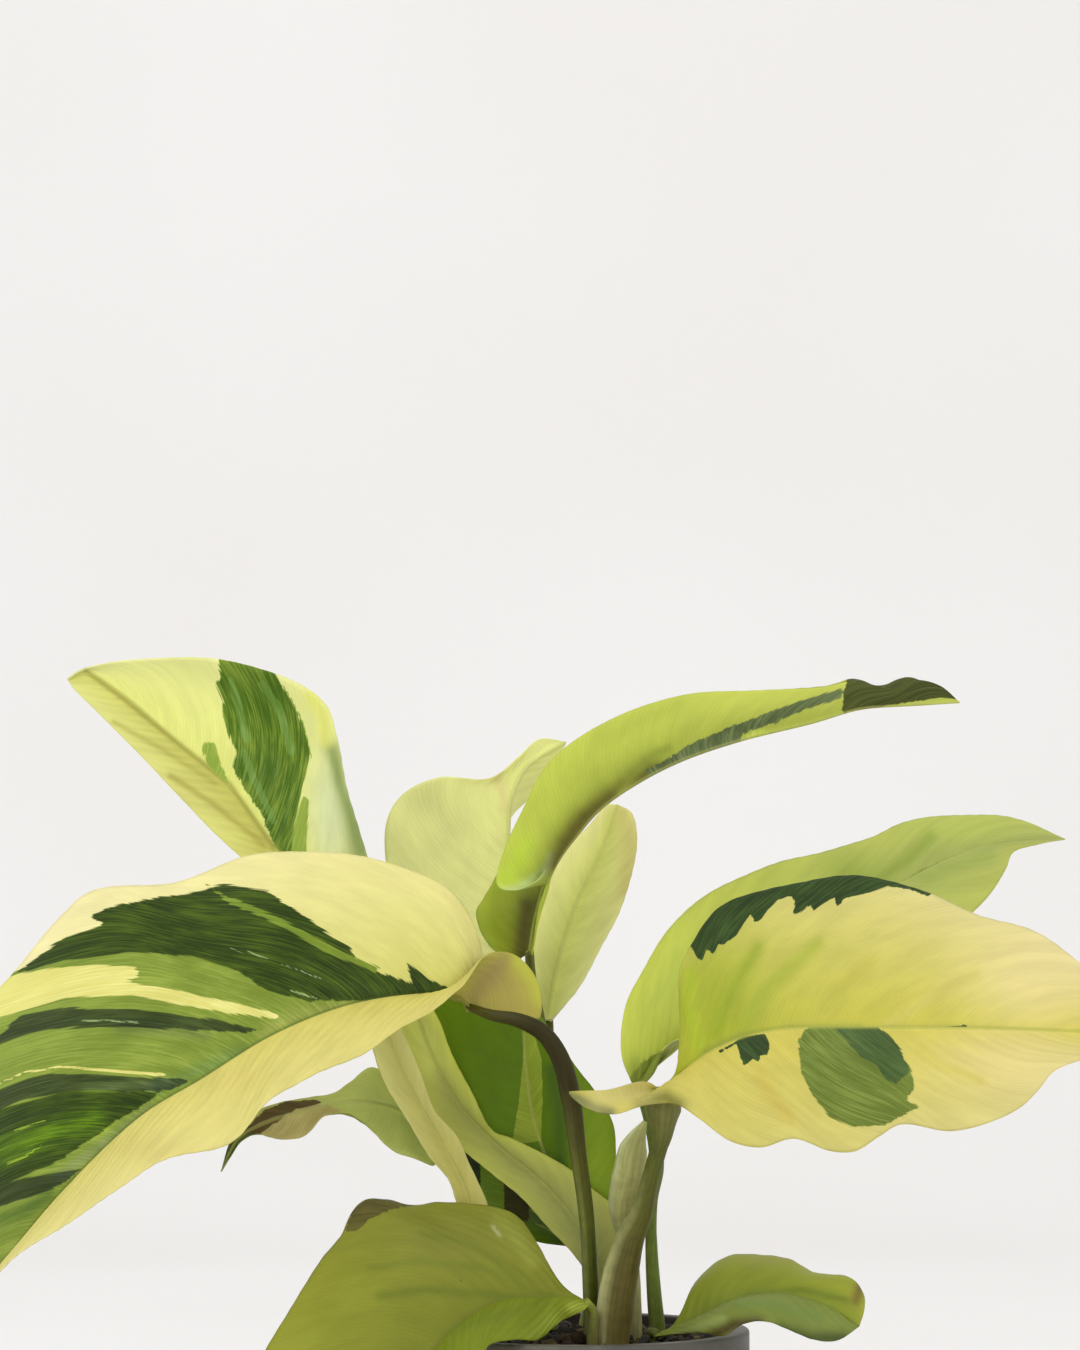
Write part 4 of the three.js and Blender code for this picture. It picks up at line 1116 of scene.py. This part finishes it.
def add_vectors(piece, name, values):
    attribute = piece.data.attributes.new(name, "FLOAT_VECTOR", "POINT")
    attribute.data.foreach_set("vector", np.ascontiguousarray(values, np.float32).ravel())


def add_map(piece, rows, size):
    """A map for even coverage: the ring round the piece across, and its length upwards."""
    uv = piece.data.uv_layers.new(name="OFBake")
    across = np.arange(size)
    corners = np.zeros((rows - 1, size, 4, 2), np.float32)
    corners[..., 0, 0] = corners[..., 3, 0] = across / size
    corners[..., 1, 0] = corners[..., 2, 0] = (across + 1) / size
    height = np.arange(rows) / (rows - 1)
    corners[..., 0, 1] = corners[..., 1, 1] = height[:-1, None]
    corners[..., 2, 1] = corners[..., 3, 1] = height[1:, None]
    flat = np.zeros((len(piece.data.loops), 2), np.float32)
    flat[:corners.size // 2] = corners.reshape(-1, 2)
    caps = flat[corners.size // 2:].reshape(-1, 3, 2)
    caps[:, :, 0] = (np.arange(len(caps)) % size)[:, None] / size
    caps[len(caps) // 2:, :, 1] = 1.0
    uv.data.foreach_set("uv", flat.ravel())


def ring_faces(rows, size):
    """Quads between rings of vertices, then a fan to each of the two end vertices after them."""
    i, k = np.meshgrid(np.arange(rows - 1), np.arange(size), indexing="ij")
    here = i * size + k
    following = i * size + (k + 1) % size
    quads = np.stack([here, following, following + size, here + size], -1).reshape(-1, 4)
    start = rows * size
    tip = start + 1
    last = start - size
    fans = [(start, (n + 1) % size, n) for n in range(size)]
    fans += [(tip, last + n, last + (n + 1) % size) for n in range(size)]
    return quads.tolist() + fans


def blade_vertices(surface, relief):
    """Rings round the blade, over its upper face and back under it, and its two ends."""
    points = surface["points"]
    normal = unit(np.cross(np.gradient(points, axis=1), np.gradient(points, axis=0)))
    distance = np.abs(surface["v"])[None, :] * surface["width"]
    young = 1.0 - surface["share"][:, None]
    edge = np.clip((1.0 - np.abs(surface["v"])) / EDGE_SHARE, 0.0, 1.0)[None, :] ** 0.5
    half = EDGE_THICKNESS + (HALF_THICKNESS - EDGE_THICKNESS) * edge
    keel = KEEL_DEPTH * young ** KEEL_FADE * np.exp(-(distance / KEEL_WIDTH) ** 2)
    groove = GROOVE_DEPTH * young ** GROOVE_FADE * np.exp(-(distance / GROOVE_WIDTH) ** 2)
    upper = points + normal * (half + relief - groove)[..., None]
    under = points + normal * (relief - half - keel)[..., None]
    rings = np.concatenate([upper, under[:, ::-1]], axis=1)
    ends = np.stack([points[0, surface["columns"]], surface["rib"].at(1.0)])
    return np.concatenate([rings.reshape(-1, 3), ends])


def on_rings(upper, under, rib_column):
    """Values of both faces in the order of blade_vertices."""
    rings = np.concatenate([upper, under[:, ::-1]], axis=1).reshape(-1, 3)
    return np.concatenate([rings, upper[[0, -1], rib_column]])


def blade(leaf, seed):
    surface = blade_surface(leaf)
    vein = veins_of(leaf, surface)
    vertices = blade_vertices(surface, relief_of(leaf, surface, vein, seed))
    rows = surface["rows"]
    size = 2 * len(surface["v"])
    materials = [leaf_material(leaf, "upper"), leaf_material(leaf, "under")]
    piece = add_object(leaf["name"], vertices, ring_faces(rows, size), materials)
    is_under = (np.arange(size) >= size // 2 - 1).astype(int)
    piece.data.polygons.foreach_set("material_index", np.tile(is_under, rows + 1))
    tints, depths, glaze = paint(leaf, surface, to_pixels(surface["points"]))
    place = np.stack([vein, surface["v"][None, :] * surface["width"], 0 * vein], -1)
    rib_column = surface["columns"]
    add_vectors(piece, "tint", on_rings(tints["upper"], tints["under"], rib_column))
    add_vectors(piece, "place", on_rings(place, place, rib_column))
    add_vectors(piece, "glaze", on_rings(glaze, glaze, rib_column))
    for name, layers in (("marks", LAYERS[:3]), ("more_marks", LAYERS[3:])):
        values = np.stack([depths[layer] for layer in layers], -1)
        add_vectors(piece, name, on_rings(values, values, rib_column))
    add_map(piece, rows, size)
    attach(piece, "root")
    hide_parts(leaf["name"] + "_blade")
    return piece


def read_along(values, share):
    return np.interp(share * (len(values) - 1), np.arange(len(values)), values)


def frames_along(tangent):
    """Two directions across a curve at each of its points, without twist."""
    across = np.zeros_like(tangent)
    current = np.array([1.0, 0.0, 0.0])
    for i, way in enumerate(tangent):
        current = unit(current - way * (current @ way))
        across[i] = current
    return across, np.cross(tangent, across)


def near_turn(angle, turn, width):
    """1 at a turn round the stalk, and fading on both sides of it."""
    return np.exp(-((np.cos(angle - turn) - 1.0) / width) ** 2)[None, :]


def stalk_tints(codes, stripes, share, angle):
    codes = np.array([colour(code) for code in codes])
    tone = np.stack([read_along(codes[:, k], share) for k in range(3)], -1)[:, None]
    for code, turn, width, strength, fade in stripes:
        fading = np.clip(1.0 - share / fade, 0.0, 1.0)[:, None]
        amount = (strength * fading * near_turn(angle, turn, width))[..., None]
        tone = tone * (1 - amount) + colour(code) * amount
    return np.broadcast_to(tone, (len(share), len(angle), 3)).reshape(-1, 3)


def with_ends(values):
    """Adds the first and the last ring's values for the two end vertices."""
    return np.concatenate([values, values[:1], values[-1:]])


def tube(name, path, radii, codes, stripes, ridge):
    """A stalk: a round tube of changing radius, with a ridge where its sheath closes."""
    curve = Curve(path)
    rows = max(FEWEST_RINGS, int(curve.length / STEM_STEP))
    share = np.linspace(0.0, 1.0, rows)
    centre = curve.at(share)
    across, along = frames_along(curve.tangent(share))
    angle = 2 * np.pi * np.arange(STEM_SIDES) / STEM_SIDES
    lower = np.clip(1.0 - share * RIDGE_FADE, 0.0, 1.0)[:, None]
    ridged = 1.0 + ridge * lower * near_turn(angle, SEAM_TURN, SEAM_WIDTH)
    radius = read_along(radii, share)[:, None] * ridged
    rings = (centre[:, None] + across[:, None] * (radius * np.cos(angle))[..., None]
             + along[:, None] * (radius * np.sin(angle))[..., None])
    vertices = np.concatenate([rings.reshape(-1, 3), centre[:1], centre[-1:]])
    piece = add_object(name, vertices, ring_faces(rows, STEM_SIDES), [stem_material()])
    place = np.stack([share[:, None] * curve.length + 0 * radius, angle[None, :] + 0 * radius,
                      0 * radius], -1)
    add_vectors(piece, "tint", with_ends(stalk_tints(codes, stripes, share, angle)))
    add_vectors(piece, "place", with_ends(place.reshape(-1, 3)))
    add_map(piece, rows, STEM_SIDES)
    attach(piece, "root")
    return piece


def stem(leaf):
    x, y = leaf["stem"][0]
    foot = [(x, y, STEM_FOOT), (x, y, (STEM_FOOT + STEM_STRAIGHT) / 2), (x, y, STEM_STRAIGHT)]
    into_blade = leaf["rib"][0] + STEM_OVERLAP * Curve(leaf["rib"]).tangent(0.0)
    path = [*foot, *leaf["stem"][1:], into_blade]
    codes = leaf.get("stem_tint", STEM_TINTS)
    stripes = leaf.get("stripes", (SEAM_STRIPE,))
    piece = tube(leaf["name"] + "_stalk", path, leaf["radii"], codes, stripes, SEAM_RIDGE)
    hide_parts(leaf["name"] + "_stem")
    return piece


def spear():
    piece = tube("young_leaf", SPEAR["path"], SPEAR["radii"], SPEAR["tints"], SPEAR["stripes"], 0.0)
    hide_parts(SPEAR["name"])
    return piece


class Tree:
    """A material's nodes, with short calls to add and join them."""

    def __init__(self, name):
        self.material = bpy.data.materials.new(name)
        self.material.use_nodes = True
        self.nodes = self.material.node_tree.nodes
        self.links = self.material.node_tree.links
        self.shader = self.nodes["Principled BSDF"]

    def put(self, socket, value):
        if isinstance(value, bpy.types.NodeSocket):
            self.links.new(value, socket)
        else:
            socket.default_value = value

    def add(self, kind, inputs=(), **settings):
        node = self.nodes.new(kind)
        for key, value in settings.items():
            setattr(node, key, value)
        for key, value in dict(inputs).items():
            self.put(node.inputs[key], value)
        return node

    def math(self, operation, first, second=0.0):
        return self.add("ShaderNodeMath", {0: first, 1: second}, operation=operation).outputs[0]

    def plus(self, first, second):
        return self.math("ADD", first, second)

    def times(self, first, second):
        return self.math("MULTIPLY", first, second)

    def attribute(self, name):
        return self.add("ShaderNodeAttribute", attribute_name=name).outputs["Vector"]

    def object_place(self):
        return self.add("ShaderNodeTexCoord").outputs["Object"]

    def split(self, vector):
        return self.add("ShaderNodeSeparateXYZ", {0: vector}).outputs

    def noise(self, vector, scale, detail=2.0, roughness=0.5):
        node = self.add("ShaderNodeTexNoise", {"Vector": vector, "Scale": scale, "Detail": detail,
                                               "Roughness": roughness})
        return node.outputs["Fac"]

    def drawn_noise(self, along, along_scale, across, across_scale, detail=2.0, roughness=0.5):
        """Noise that is drawn out along one of two directions."""
        place = self.add("ShaderNodeCombineXYZ", {0: self.times(along, along_scale),
                                                  1: self.times(across, across_scale)})
        return self.noise(place.outputs[0], 1.0, detail, roughness)

    def remap(self, value, low, high, to_low=0.0, to_high=1.0, kind="SMOOTHSTEP"):
        node = self.add("ShaderNodeMapRange", {0: value, 1: low, 2: high, 3: to_low, 4: to_high},
                        interpolation_type=kind)
        return node.outputs[0]

    def mix(self, amount, first, second, blend="MIX"):
        node = self.add("ShaderNodeMix", data_type="RGBA", blend_type=blend)
        self.put(node.inputs[0], amount)
        self.put(node.inputs[6], first)
        self.put(node.inputs[7], second)
        return node.outputs[2]

    def shade(self, shown, factor):
        return self.mix(1.0, shown, factor, "MULTIPLY")

    def bump(self, height, distance, strength):
        node = self.add("ShaderNodeBump", {"Height": height, "Distance": distance,
                                           "Strength": strength})
        self.put(self.shader.inputs["Normal"], node.outputs[0])

    def surface(self, shown, roughness, specular=0.5):
        self.put(self.shader.inputs["Base Color"], shown)
        self.put(self.shader.inputs["Roughness"], roughness)
        self.put(self.shader.inputs["Specular IOR Level"], specular)


def opaque(code):
    return (*colour(code), 1.0)


def leaf_material(leaf, face):
    """A satin blade: faint streaks and lines along the side veins, and vein-edged markings."""
    tree = Tree(f"{leaf['name']}_{face}")
    vein, across = tree.split(tree.attribute("place"))[0:2]
    streak = tree.drawn_noise(vein, STREAK_SCALE, across, ACROSS_SCALE, 3.0, 0.6)
    cloud = tree.drawn_noise(vein, CLOUD_SCALE, across, ACROSS_SCALE, 3.0)
    line = tree.remap(tree.math("SINE", tree.times(vein, 2 * math.pi / VEIN_SPACING)), 0.4, 1.0)
    tone = tree.plus(tree.remap(streak, 0.25, 0.75, 0.965, 1.03, "LINEAR"), tree.times(line, -0.035))
    tone = tree.times(tone, tree.remap(cloud, 0.25, 0.75, 0.93, 1.05))
    shown = tree.shade(tree.attribute("tint"), tone)

    # The markings' edges run in and out from one vein to the next
    step = tree.math("FLOOR", tree.math("DIVIDE", vein, JAG_STEP))
    strip = tree.add("ShaderNodeTexWhiteNoise", {"W": step}, noise_dimensions="1D").outputs["Value"]
    jag = tree.plus(tree.remap(strip, 0.0, 1.0, -JAG_BY_STEP, JAG_BY_STEP, "LINEAR"),
                    tree.remap(streak, 0.2, 0.8, -JAG_BY_STREAK, JAG_BY_STREAK, "LINEAR"))
    flecks = tree.remap(tree.plus(streak, tree.times(cloud, 0.5)), 0.6, 1.0)
    depths = [*tree.split(tree.attribute("marks")), *tree.split(tree.attribute("more_marks"))]
    used = {mark[0] for mark in (*leaf.get("marks", ()), *leaf.get("strokes", ()))}
    inks = {**INKS, **leaf.get("inks", {})}
    is_seen = face in leaf["seen"]
    strength = 1.0 if is_seen else FAR_FACE_STRENGTH
    for layer, depth in zip(LAYERS, depths):
        if layer not in used:
            continue
        mask = tree.remap(tree.plus(depth, jag), -MARK_SOFTNESS, MARK_SOFTNESS)
        ink, fleck = inks[layer]
        own = tree.shade(tree.mix(flecks, opaque(ink), opaque(fleck)), tone)
        shown = tree.mix(tree.times(mask, strength), shown, own)
    if is_seen:
        shown = tree.shade(shown, tree.attribute("glaze"))

    rib = tree.remap(tree.math("ABSOLUTE", across), RIB_CORE, RIB_EDGE, RIB_STRENGTH, 0.0)
    shown = tree.mix(rib, shown, opaque(leaf.get("rib_tint", RIB_TINT)))
    roughness = UPPER_ROUGHNESS if face == "upper" else UNDER_ROUGHNESS
    tree.surface(shown, tree.remap(cloud, 0.3, 0.7, *roughness), LEAF_SPECULAR)
    tree.bump(tree.plus(tree.times(streak, 0.6), tree.times(line, -0.35)), LEAF_BUMP, 0.5)
    return tree.material


@functools.cache
def stem_material():
    tree = Tree("stalk_skin")
    along, around = tree.split(tree.attribute("place"))[0:2]
    fibre = tree.drawn_noise(along, 0.06, around, 4.0, 3.0)
    blotch = tree.drawn_noise(along, 0.25, around, 1.0)
    tone = tree.times(tree.remap(fibre, 0.25, 0.75, 0.82, 1.15),
                      tree.remap(blotch, 0.3, 0.7, 0.88, 1.08))
    tree.surface(tree.shade(tree.attribute("tint"), tone), tree.remap(blotch, 0.3, 0.7, 0.42, 0.56),
                 specular=0.2)
    tree.bump(fibre, 0.0003, 0.5)
    return tree.material


def pot_material():
    """Dust with a painted highlight that lightens the band by the rim, and painted shade on the wall's
    inner side.
    """
    tree = Tree("pot_plastic")
    place = tree.object_place()
    x, y, height = tree.split(place)
    grain = tree.noise(place, 900.0, 3.0, 0.6)
    dust = tree.noise(place, 45.0, 4.0, 0.6)
    # Dust by noise, with a painted highlight: lighter towards the rim's top
    dust_and_highlight = tree.times(tree.remap(dust, 0.4, 0.7), tree.remap(height, 0.09, 0.105, 0.15, 0.75))
    shown = tree.mix(dust_and_highlight, opaque(POT_TINT), opaque(POT_DUST_AND_HIGHLIGHT))
    shown = tree.mix(tree.remap(grain, 0.35, 0.7, 0.0, 0.25), shown, opaque(POT_GRAIN))
    # Painted shade: the upper part of the wall's inner side is darkened
    radius = tree.math("SQRT", tree.plus(tree.times(x, x), tree.times(y, y)))
    inner_shade = tree.times(tree.remap(radius, 0.0552, 0.0546), tree.remap(height, 0.085, 0.095))
    shown = tree.mix(inner_shade, shown, opaque(POT_INNER_SHADE))
    tree.surface(shown, tree.remap(dust, 0.3, 0.7, 0.42, 0.62))
    tree.bump(grain, 0.0002, 0.4)
    return tree.material


def soil_material():
    tree = Tree("potting_mix")
    place = tree.object_place()
    fine = tree.noise(place, 1400.0, 4.0, 0.7)
    coarse = tree.noise(place, 260.0, 3.0, 0.6)
    dark, light, patch = (opaque(code) for code in SOIL_TINTS)
    shown = tree.mix(tree.remap(fine, 0.3, 0.75), dark, light)
    shown = tree.mix(tree.remap(coarse, 0.45, 0.75, 0.0, 0.6), shown, patch)
    tree.surface(shown, tree.remap(fine, 0.2, 0.8, 0.75, 0.95), specular=0.1)
    tree.bump(fine, 0.0006, 0.8)
    return tree.material


def crumb_material():
    tree = Tree("bark_crumbs")
    fine = tree.noise(tree.object_place(), 1100.0, 3.0, 0.6)
    shown = tree.shade(tree.attribute("tint"), tree.remap(fine, 0.25, 0.75, 0.7, 1.25))
    tree.surface(shown, tree.remap(fine, 0.2, 0.8, 0.7, 0.95))
    tree.bump(fine, 0.0005, 0.8)
    return tree.material


def paper_material():
    tree = Tree("backdrop_paper")
    cloud = tree.noise(tree.object_place(), 1.6, 1.0)
    first, second = (opaque(code) for code in PAPER_TINTS)
    tree.surface(tree.mix(tree.remap(cloud, 0.3, 0.7, 0.0, 0.4), first, second), 0.9)
    return tree.material


def pot_inside(height):
    """Radius of the pot's inner wall at a height."""
    share = (height - FLOOR_THICKNESS) / (POT_HEIGHT - FLOOR_THICKNESS)
    return FOOT_RADIUS + (COLLAR_RADIUS - FOOT_RADIUS) * share - POT_WALL


def rounded(profile, radius, steps=5):
    """A profile of radius and height, from axis to axis, with each corner rounded off."""
    out = []
    for i, (x, z) in enumerate(profile):
        here = np.array([x, z], float)
        if x <= 0:
            out.append(here)
            continue
        before = np.array(profile[i - 1], float) - here
        after = np.array(profile[i + 1], float) - here
        reach = min(radius, 0.45 * np.linalg.norm(before), 0.45 * np.linalg.norm(after))
        start = here + unit(before) * reach
        stop = here + unit(after) * reach
        for t in np.linspace(0.0, 1.0, steps):
            out.append((1 - t) ** 2 * start + 2 * t * (1 - t) * here + t ** 2 * stop)
    return np.array(out)


def circle(sides):
    angle = 2 * np.pi * np.arange(sides) / sides
    return np.cos(angle), np.sin(angle)


def lathe(name, profile, sides, material):
    """Turns a profile that starts and ends on the axis round it."""
    body = profile[1:-1]
    cosines, sines = circle(sides)
    rings = np.stack([body[:, :1] * cosines, body[:, :1] * sines, np.repeat(body[:, 1:], sides, 1)], -1)
    ends = np.array([[0.0, 0.0, profile[0][1]], [0.0, 0.0, profile[-1][1]]])
    vertices = np.concatenate([rings.reshape(-1, 3), ends])
    return add_object(name, vertices, ring_faces(len(body), sides), [material])


def pot():
    collar = POT_HEIGHT - RIM_DEPTH
    shoulder = collar - COLLAR_DEPTH
    profile = [(0, FOOT_LIFT), (FOOT_RADIUS - FOOT_RING - 1, FOOT_LIFT), (FOOT_RADIUS - FOOT_RING, 0),
               (FOOT_RADIUS, 0), (COLLAR_RADIUS - COLLAR_TAPER - COLLAR_STEP, shoulder - 1),
               (COLLAR_RADIUS - COLLAR_TAPER, shoulder), (COLLAR_RADIUS, collar),
               (RIM_RADIUS, collar), (RIM_RADIUS, POT_HEIGHT), (pot_inside(POT_HEIGHT), POT_HEIGHT),
               (pot_inside(FLOOR_THICKNESS), FLOOR_THICKNESS), (0, FLOOR_THICKNESS)]
    piece = lathe("nursery_pot", rounded(profile, CORNER_ROUNDING), POT_SIDES, pot_material())
    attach(piece, "root")
    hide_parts("pot")
    return piece


def soil_height(x, y):
    radius = np.hypot(x, y) / pot_inside(SOIL_EDGE)
    mound = (SOIL_CROWN - SOIL_EDGE) * np.clip(1.0 - radius ** 2, 0.0, 1.0)
    lumps = sum(height * np.sin(x * x_rate + x_start) * np.sin(y * y_rate + y_start)
                for height, x_rate, x_start, y_rate, y_start in SOIL_LUMPS)
    return SOIL_EDGE + mound + lumps * np.clip(LUMP_FADE - radius, 0.0, 1.0)


def soil():
    """The mix as a lumpy surface with sides down to the pot's floor."""
    draw = np.random.default_rng(SOIL_SEED)
    edge = pot_inside(SOIL_EDGE) - SOIL_EDGE_GAP
    radii = np.linspace(1.0, 0.0, SOIL_RINGS + 1)[:-1] * edge
    cosines, sines = circle(SOIL_SIDES)
    x = radii[:, None] * cosines
    y = radii[:, None] * sines
    z = soil_height(x, y) + draw.normal(0.0, SOIL_GRAIN, x.shape)
    floor = FLOOR_THICKNESS + SOIL_FLOOR_GAP
    low = pot_inside(floor) - SOIL_FOOT_GAP
    bottom = np.stack([low * cosines, low * sines, np.full(SOIL_SIDES, floor)], -1)
    rings = np.concatenate([bottom[None], np.stack([x, y, z], -1)])
    ends = [[0, 0, floor], [0, 0, soil_height(0.0, 0.0)]]
    vertices = np.concatenate([rings.reshape(-1, 3), ends])
    faces = ring_faces(len(rings), SOIL_SIDES)
    piece = add_object("potting_mix", vertices, faces, [soil_material()])
    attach(piece, "root")
    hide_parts("soil")
    return piece


def crumb_shape():
    """Corners and faces of a once-divided octahedron."""
    corners = [(1, 0, 0), (-1, 0, 0), (0, 1, 0), (0, -1, 0), (0, 0, 1), (0, 0, -1)]
    faces = [(0, 2, 4), (2, 1, 4), (1, 3, 4), (3, 0, 4), (2, 0, 5), (1, 2, 5), (3, 1, 5), (0, 3, 5)]
    points = [np.array(corner, float) for corner in corners]
    middles = {}

    def between(a, b):
        key = (min(a, b), max(a, b))
        if key not in middles:
            points.append(unit(points[a] + points[b]))
            middles[key] = len(points) - 1
        return middles[key]

    fine = []
    for a, b, c in faces:
        ab = between(a, b)
        bc = between(b, c)
        ca = between(c, a)
        fine += [(a, ab, ca), (b, bc, ab), (c, ca, bc), (ab, bc, ca)]
    return np.array(points), np.array(fine)


def crumbs():
    """Bark chips and peat crumbs strewn over the mix, clear of the stalks and the pot's wall."""
    draw = np.random.default_rng(CRUMB_SEED)
    shape, shape_faces = crumb_shape()
    feet = np.array([(*leaf["stem"][0], leaf["radii"][0]) for leaf in LEAVES]
                    + [(*SPEAR["path"][0][:2], SPEAR["radii"][0])], float)
    tones = [colour(code) for code in CRUMB_TINTS]
    vertices = []
    tints = []
    faces = []
    while len(vertices) < CRUMB_COUNT:
        radius = CRUMB_REACH * math.sqrt(draw.random())
        turn = draw.uniform(0, 2 * math.pi)
        x = radius * math.cos(turn)
        y = radius * math.sin(turn)
        size = draw.uniform(*(SMALL_CRUMBS if draw.random() < SMALL_SHARE else LARGE_CRUMBS))
        room = CRUMB_ROOM * size
        gaps = np.hypot(feet[:, 0] - x, feet[:, 1] - y) - feet[:, 2]
        if gaps.min() < room or radius + room > pot_inside(SOIL_EDGE):
            continue
        stretch = draw.uniform(*CRUMB_STRETCH, 3) * size
        spin = np.linalg.qr(draw.normal(size=(3, 3)))[0]
        spin[:, 0] *= np.sign(np.linalg.det(spin))
        bumps = 1.0 + draw.normal(0.0, CRUMB_BUMPS, len(shape))[:, None]
        body = (shape * bumps * stretch) @ spin.T
        body += (x, y, float(soil_height(x, y)) + CRUMB_LIFT * size)
        faces += (shape_faces + len(vertices) * len(shape)).tolist()
        vertices.append(body)
        tone = tones[draw.integers(len(tones))] * draw.uniform(*CRUMB_SHADES)
        tints.append(np.repeat(tone[None], len(shape), 0))
    piece = add_object("bark_crumbs", np.concatenate(vertices), faces, [crumb_material()])
    add_vectors(piece, "tint", np.concatenate(tints))
    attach(piece, "root")
    return piece


def stage():
    """A pale floor that curves up into a pale wall behind."""
    profile = [(STAGE_FRONT, 0.0), (STAGE_BACK - STAGE_CURVE, 0.0)]
    for k in range(1, STAGE_STEPS + 1):
        turn = k / STAGE_STEPS * math.pi / 2
        profile.append((STAGE_BACK - STAGE_CURVE + STAGE_CURVE * math.sin(turn),
                        STAGE_CURVE - STAGE_CURVE * math.cos(turn)))
    profile.append((STAGE_BACK, STAGE_TOP))
    vertices = np.array([(x, y, z) for y, z in profile for x in (-STAGE_SIDE, STAGE_SIDE)]) / MM
    faces = [(2 * i, 2 * i + 1, 2 * i + 3, 2 * i + 2) for i in range(len(profile) - 1)]
    floor = add_object("backdrop", vertices, faces, [paper_material()])


def light(name, place, aim, size, power):
    data = bpy.data.lights.new(name, "AREA")
    data.shape = "RECTANGLE"
    data.size, data.size_y = size
    data.energy = power
    lamp = bpy.data.objects.new(name, data)
    bpy.context.scene.collection.objects.link(lamp)
    way = np.array(aim) - np.array(place)
    flat = math.hypot(way[0], way[1])
    lamp.location = place
    lamp.rotation_euler = (math.atan2(flat, -way[2]), 0.0, math.atan2(way[1], way[0]) - math.pi / 2)


def studio():
    world = bpy.data.worlds.new("studio")
    bpy.context.scene.world = world
    world.use_nodes = True
    background = world.node_tree.nodes["Background"]
    background.inputs["Color"].default_value = WORLD_TINT
    background.inputs["Strength"].default_value = WORLD_STRENGTH
    for settings in LIGHTS:
        light(**settings)
    bpy.context.scene.view_settings.view_transform = "Standard"


def camera():
    data = bpy.data.cameras.new("camera")
    data.lens = LENS
    data.sensor_width = SENSOR
    data.clip_start = 0.05
    data.clip_end = 50.0
    eye = bpy.data.objects.new("camera", data)
    bpy.context.scene.collection.objects.link(eye)
    eye.location = CAMERA_PLACE * MM
    eye.rotation_euler = (math.radians(90.0 + CAMERA_PITCH), 0.0, 0.0)
    bpy.context.scene.camera = eye


camera()
studio()
stage()
pot()
soil()
crumbs()
for number, entry in enumerate(LEAVES):
    blade(entry, number)
    stem(entry)
spear()
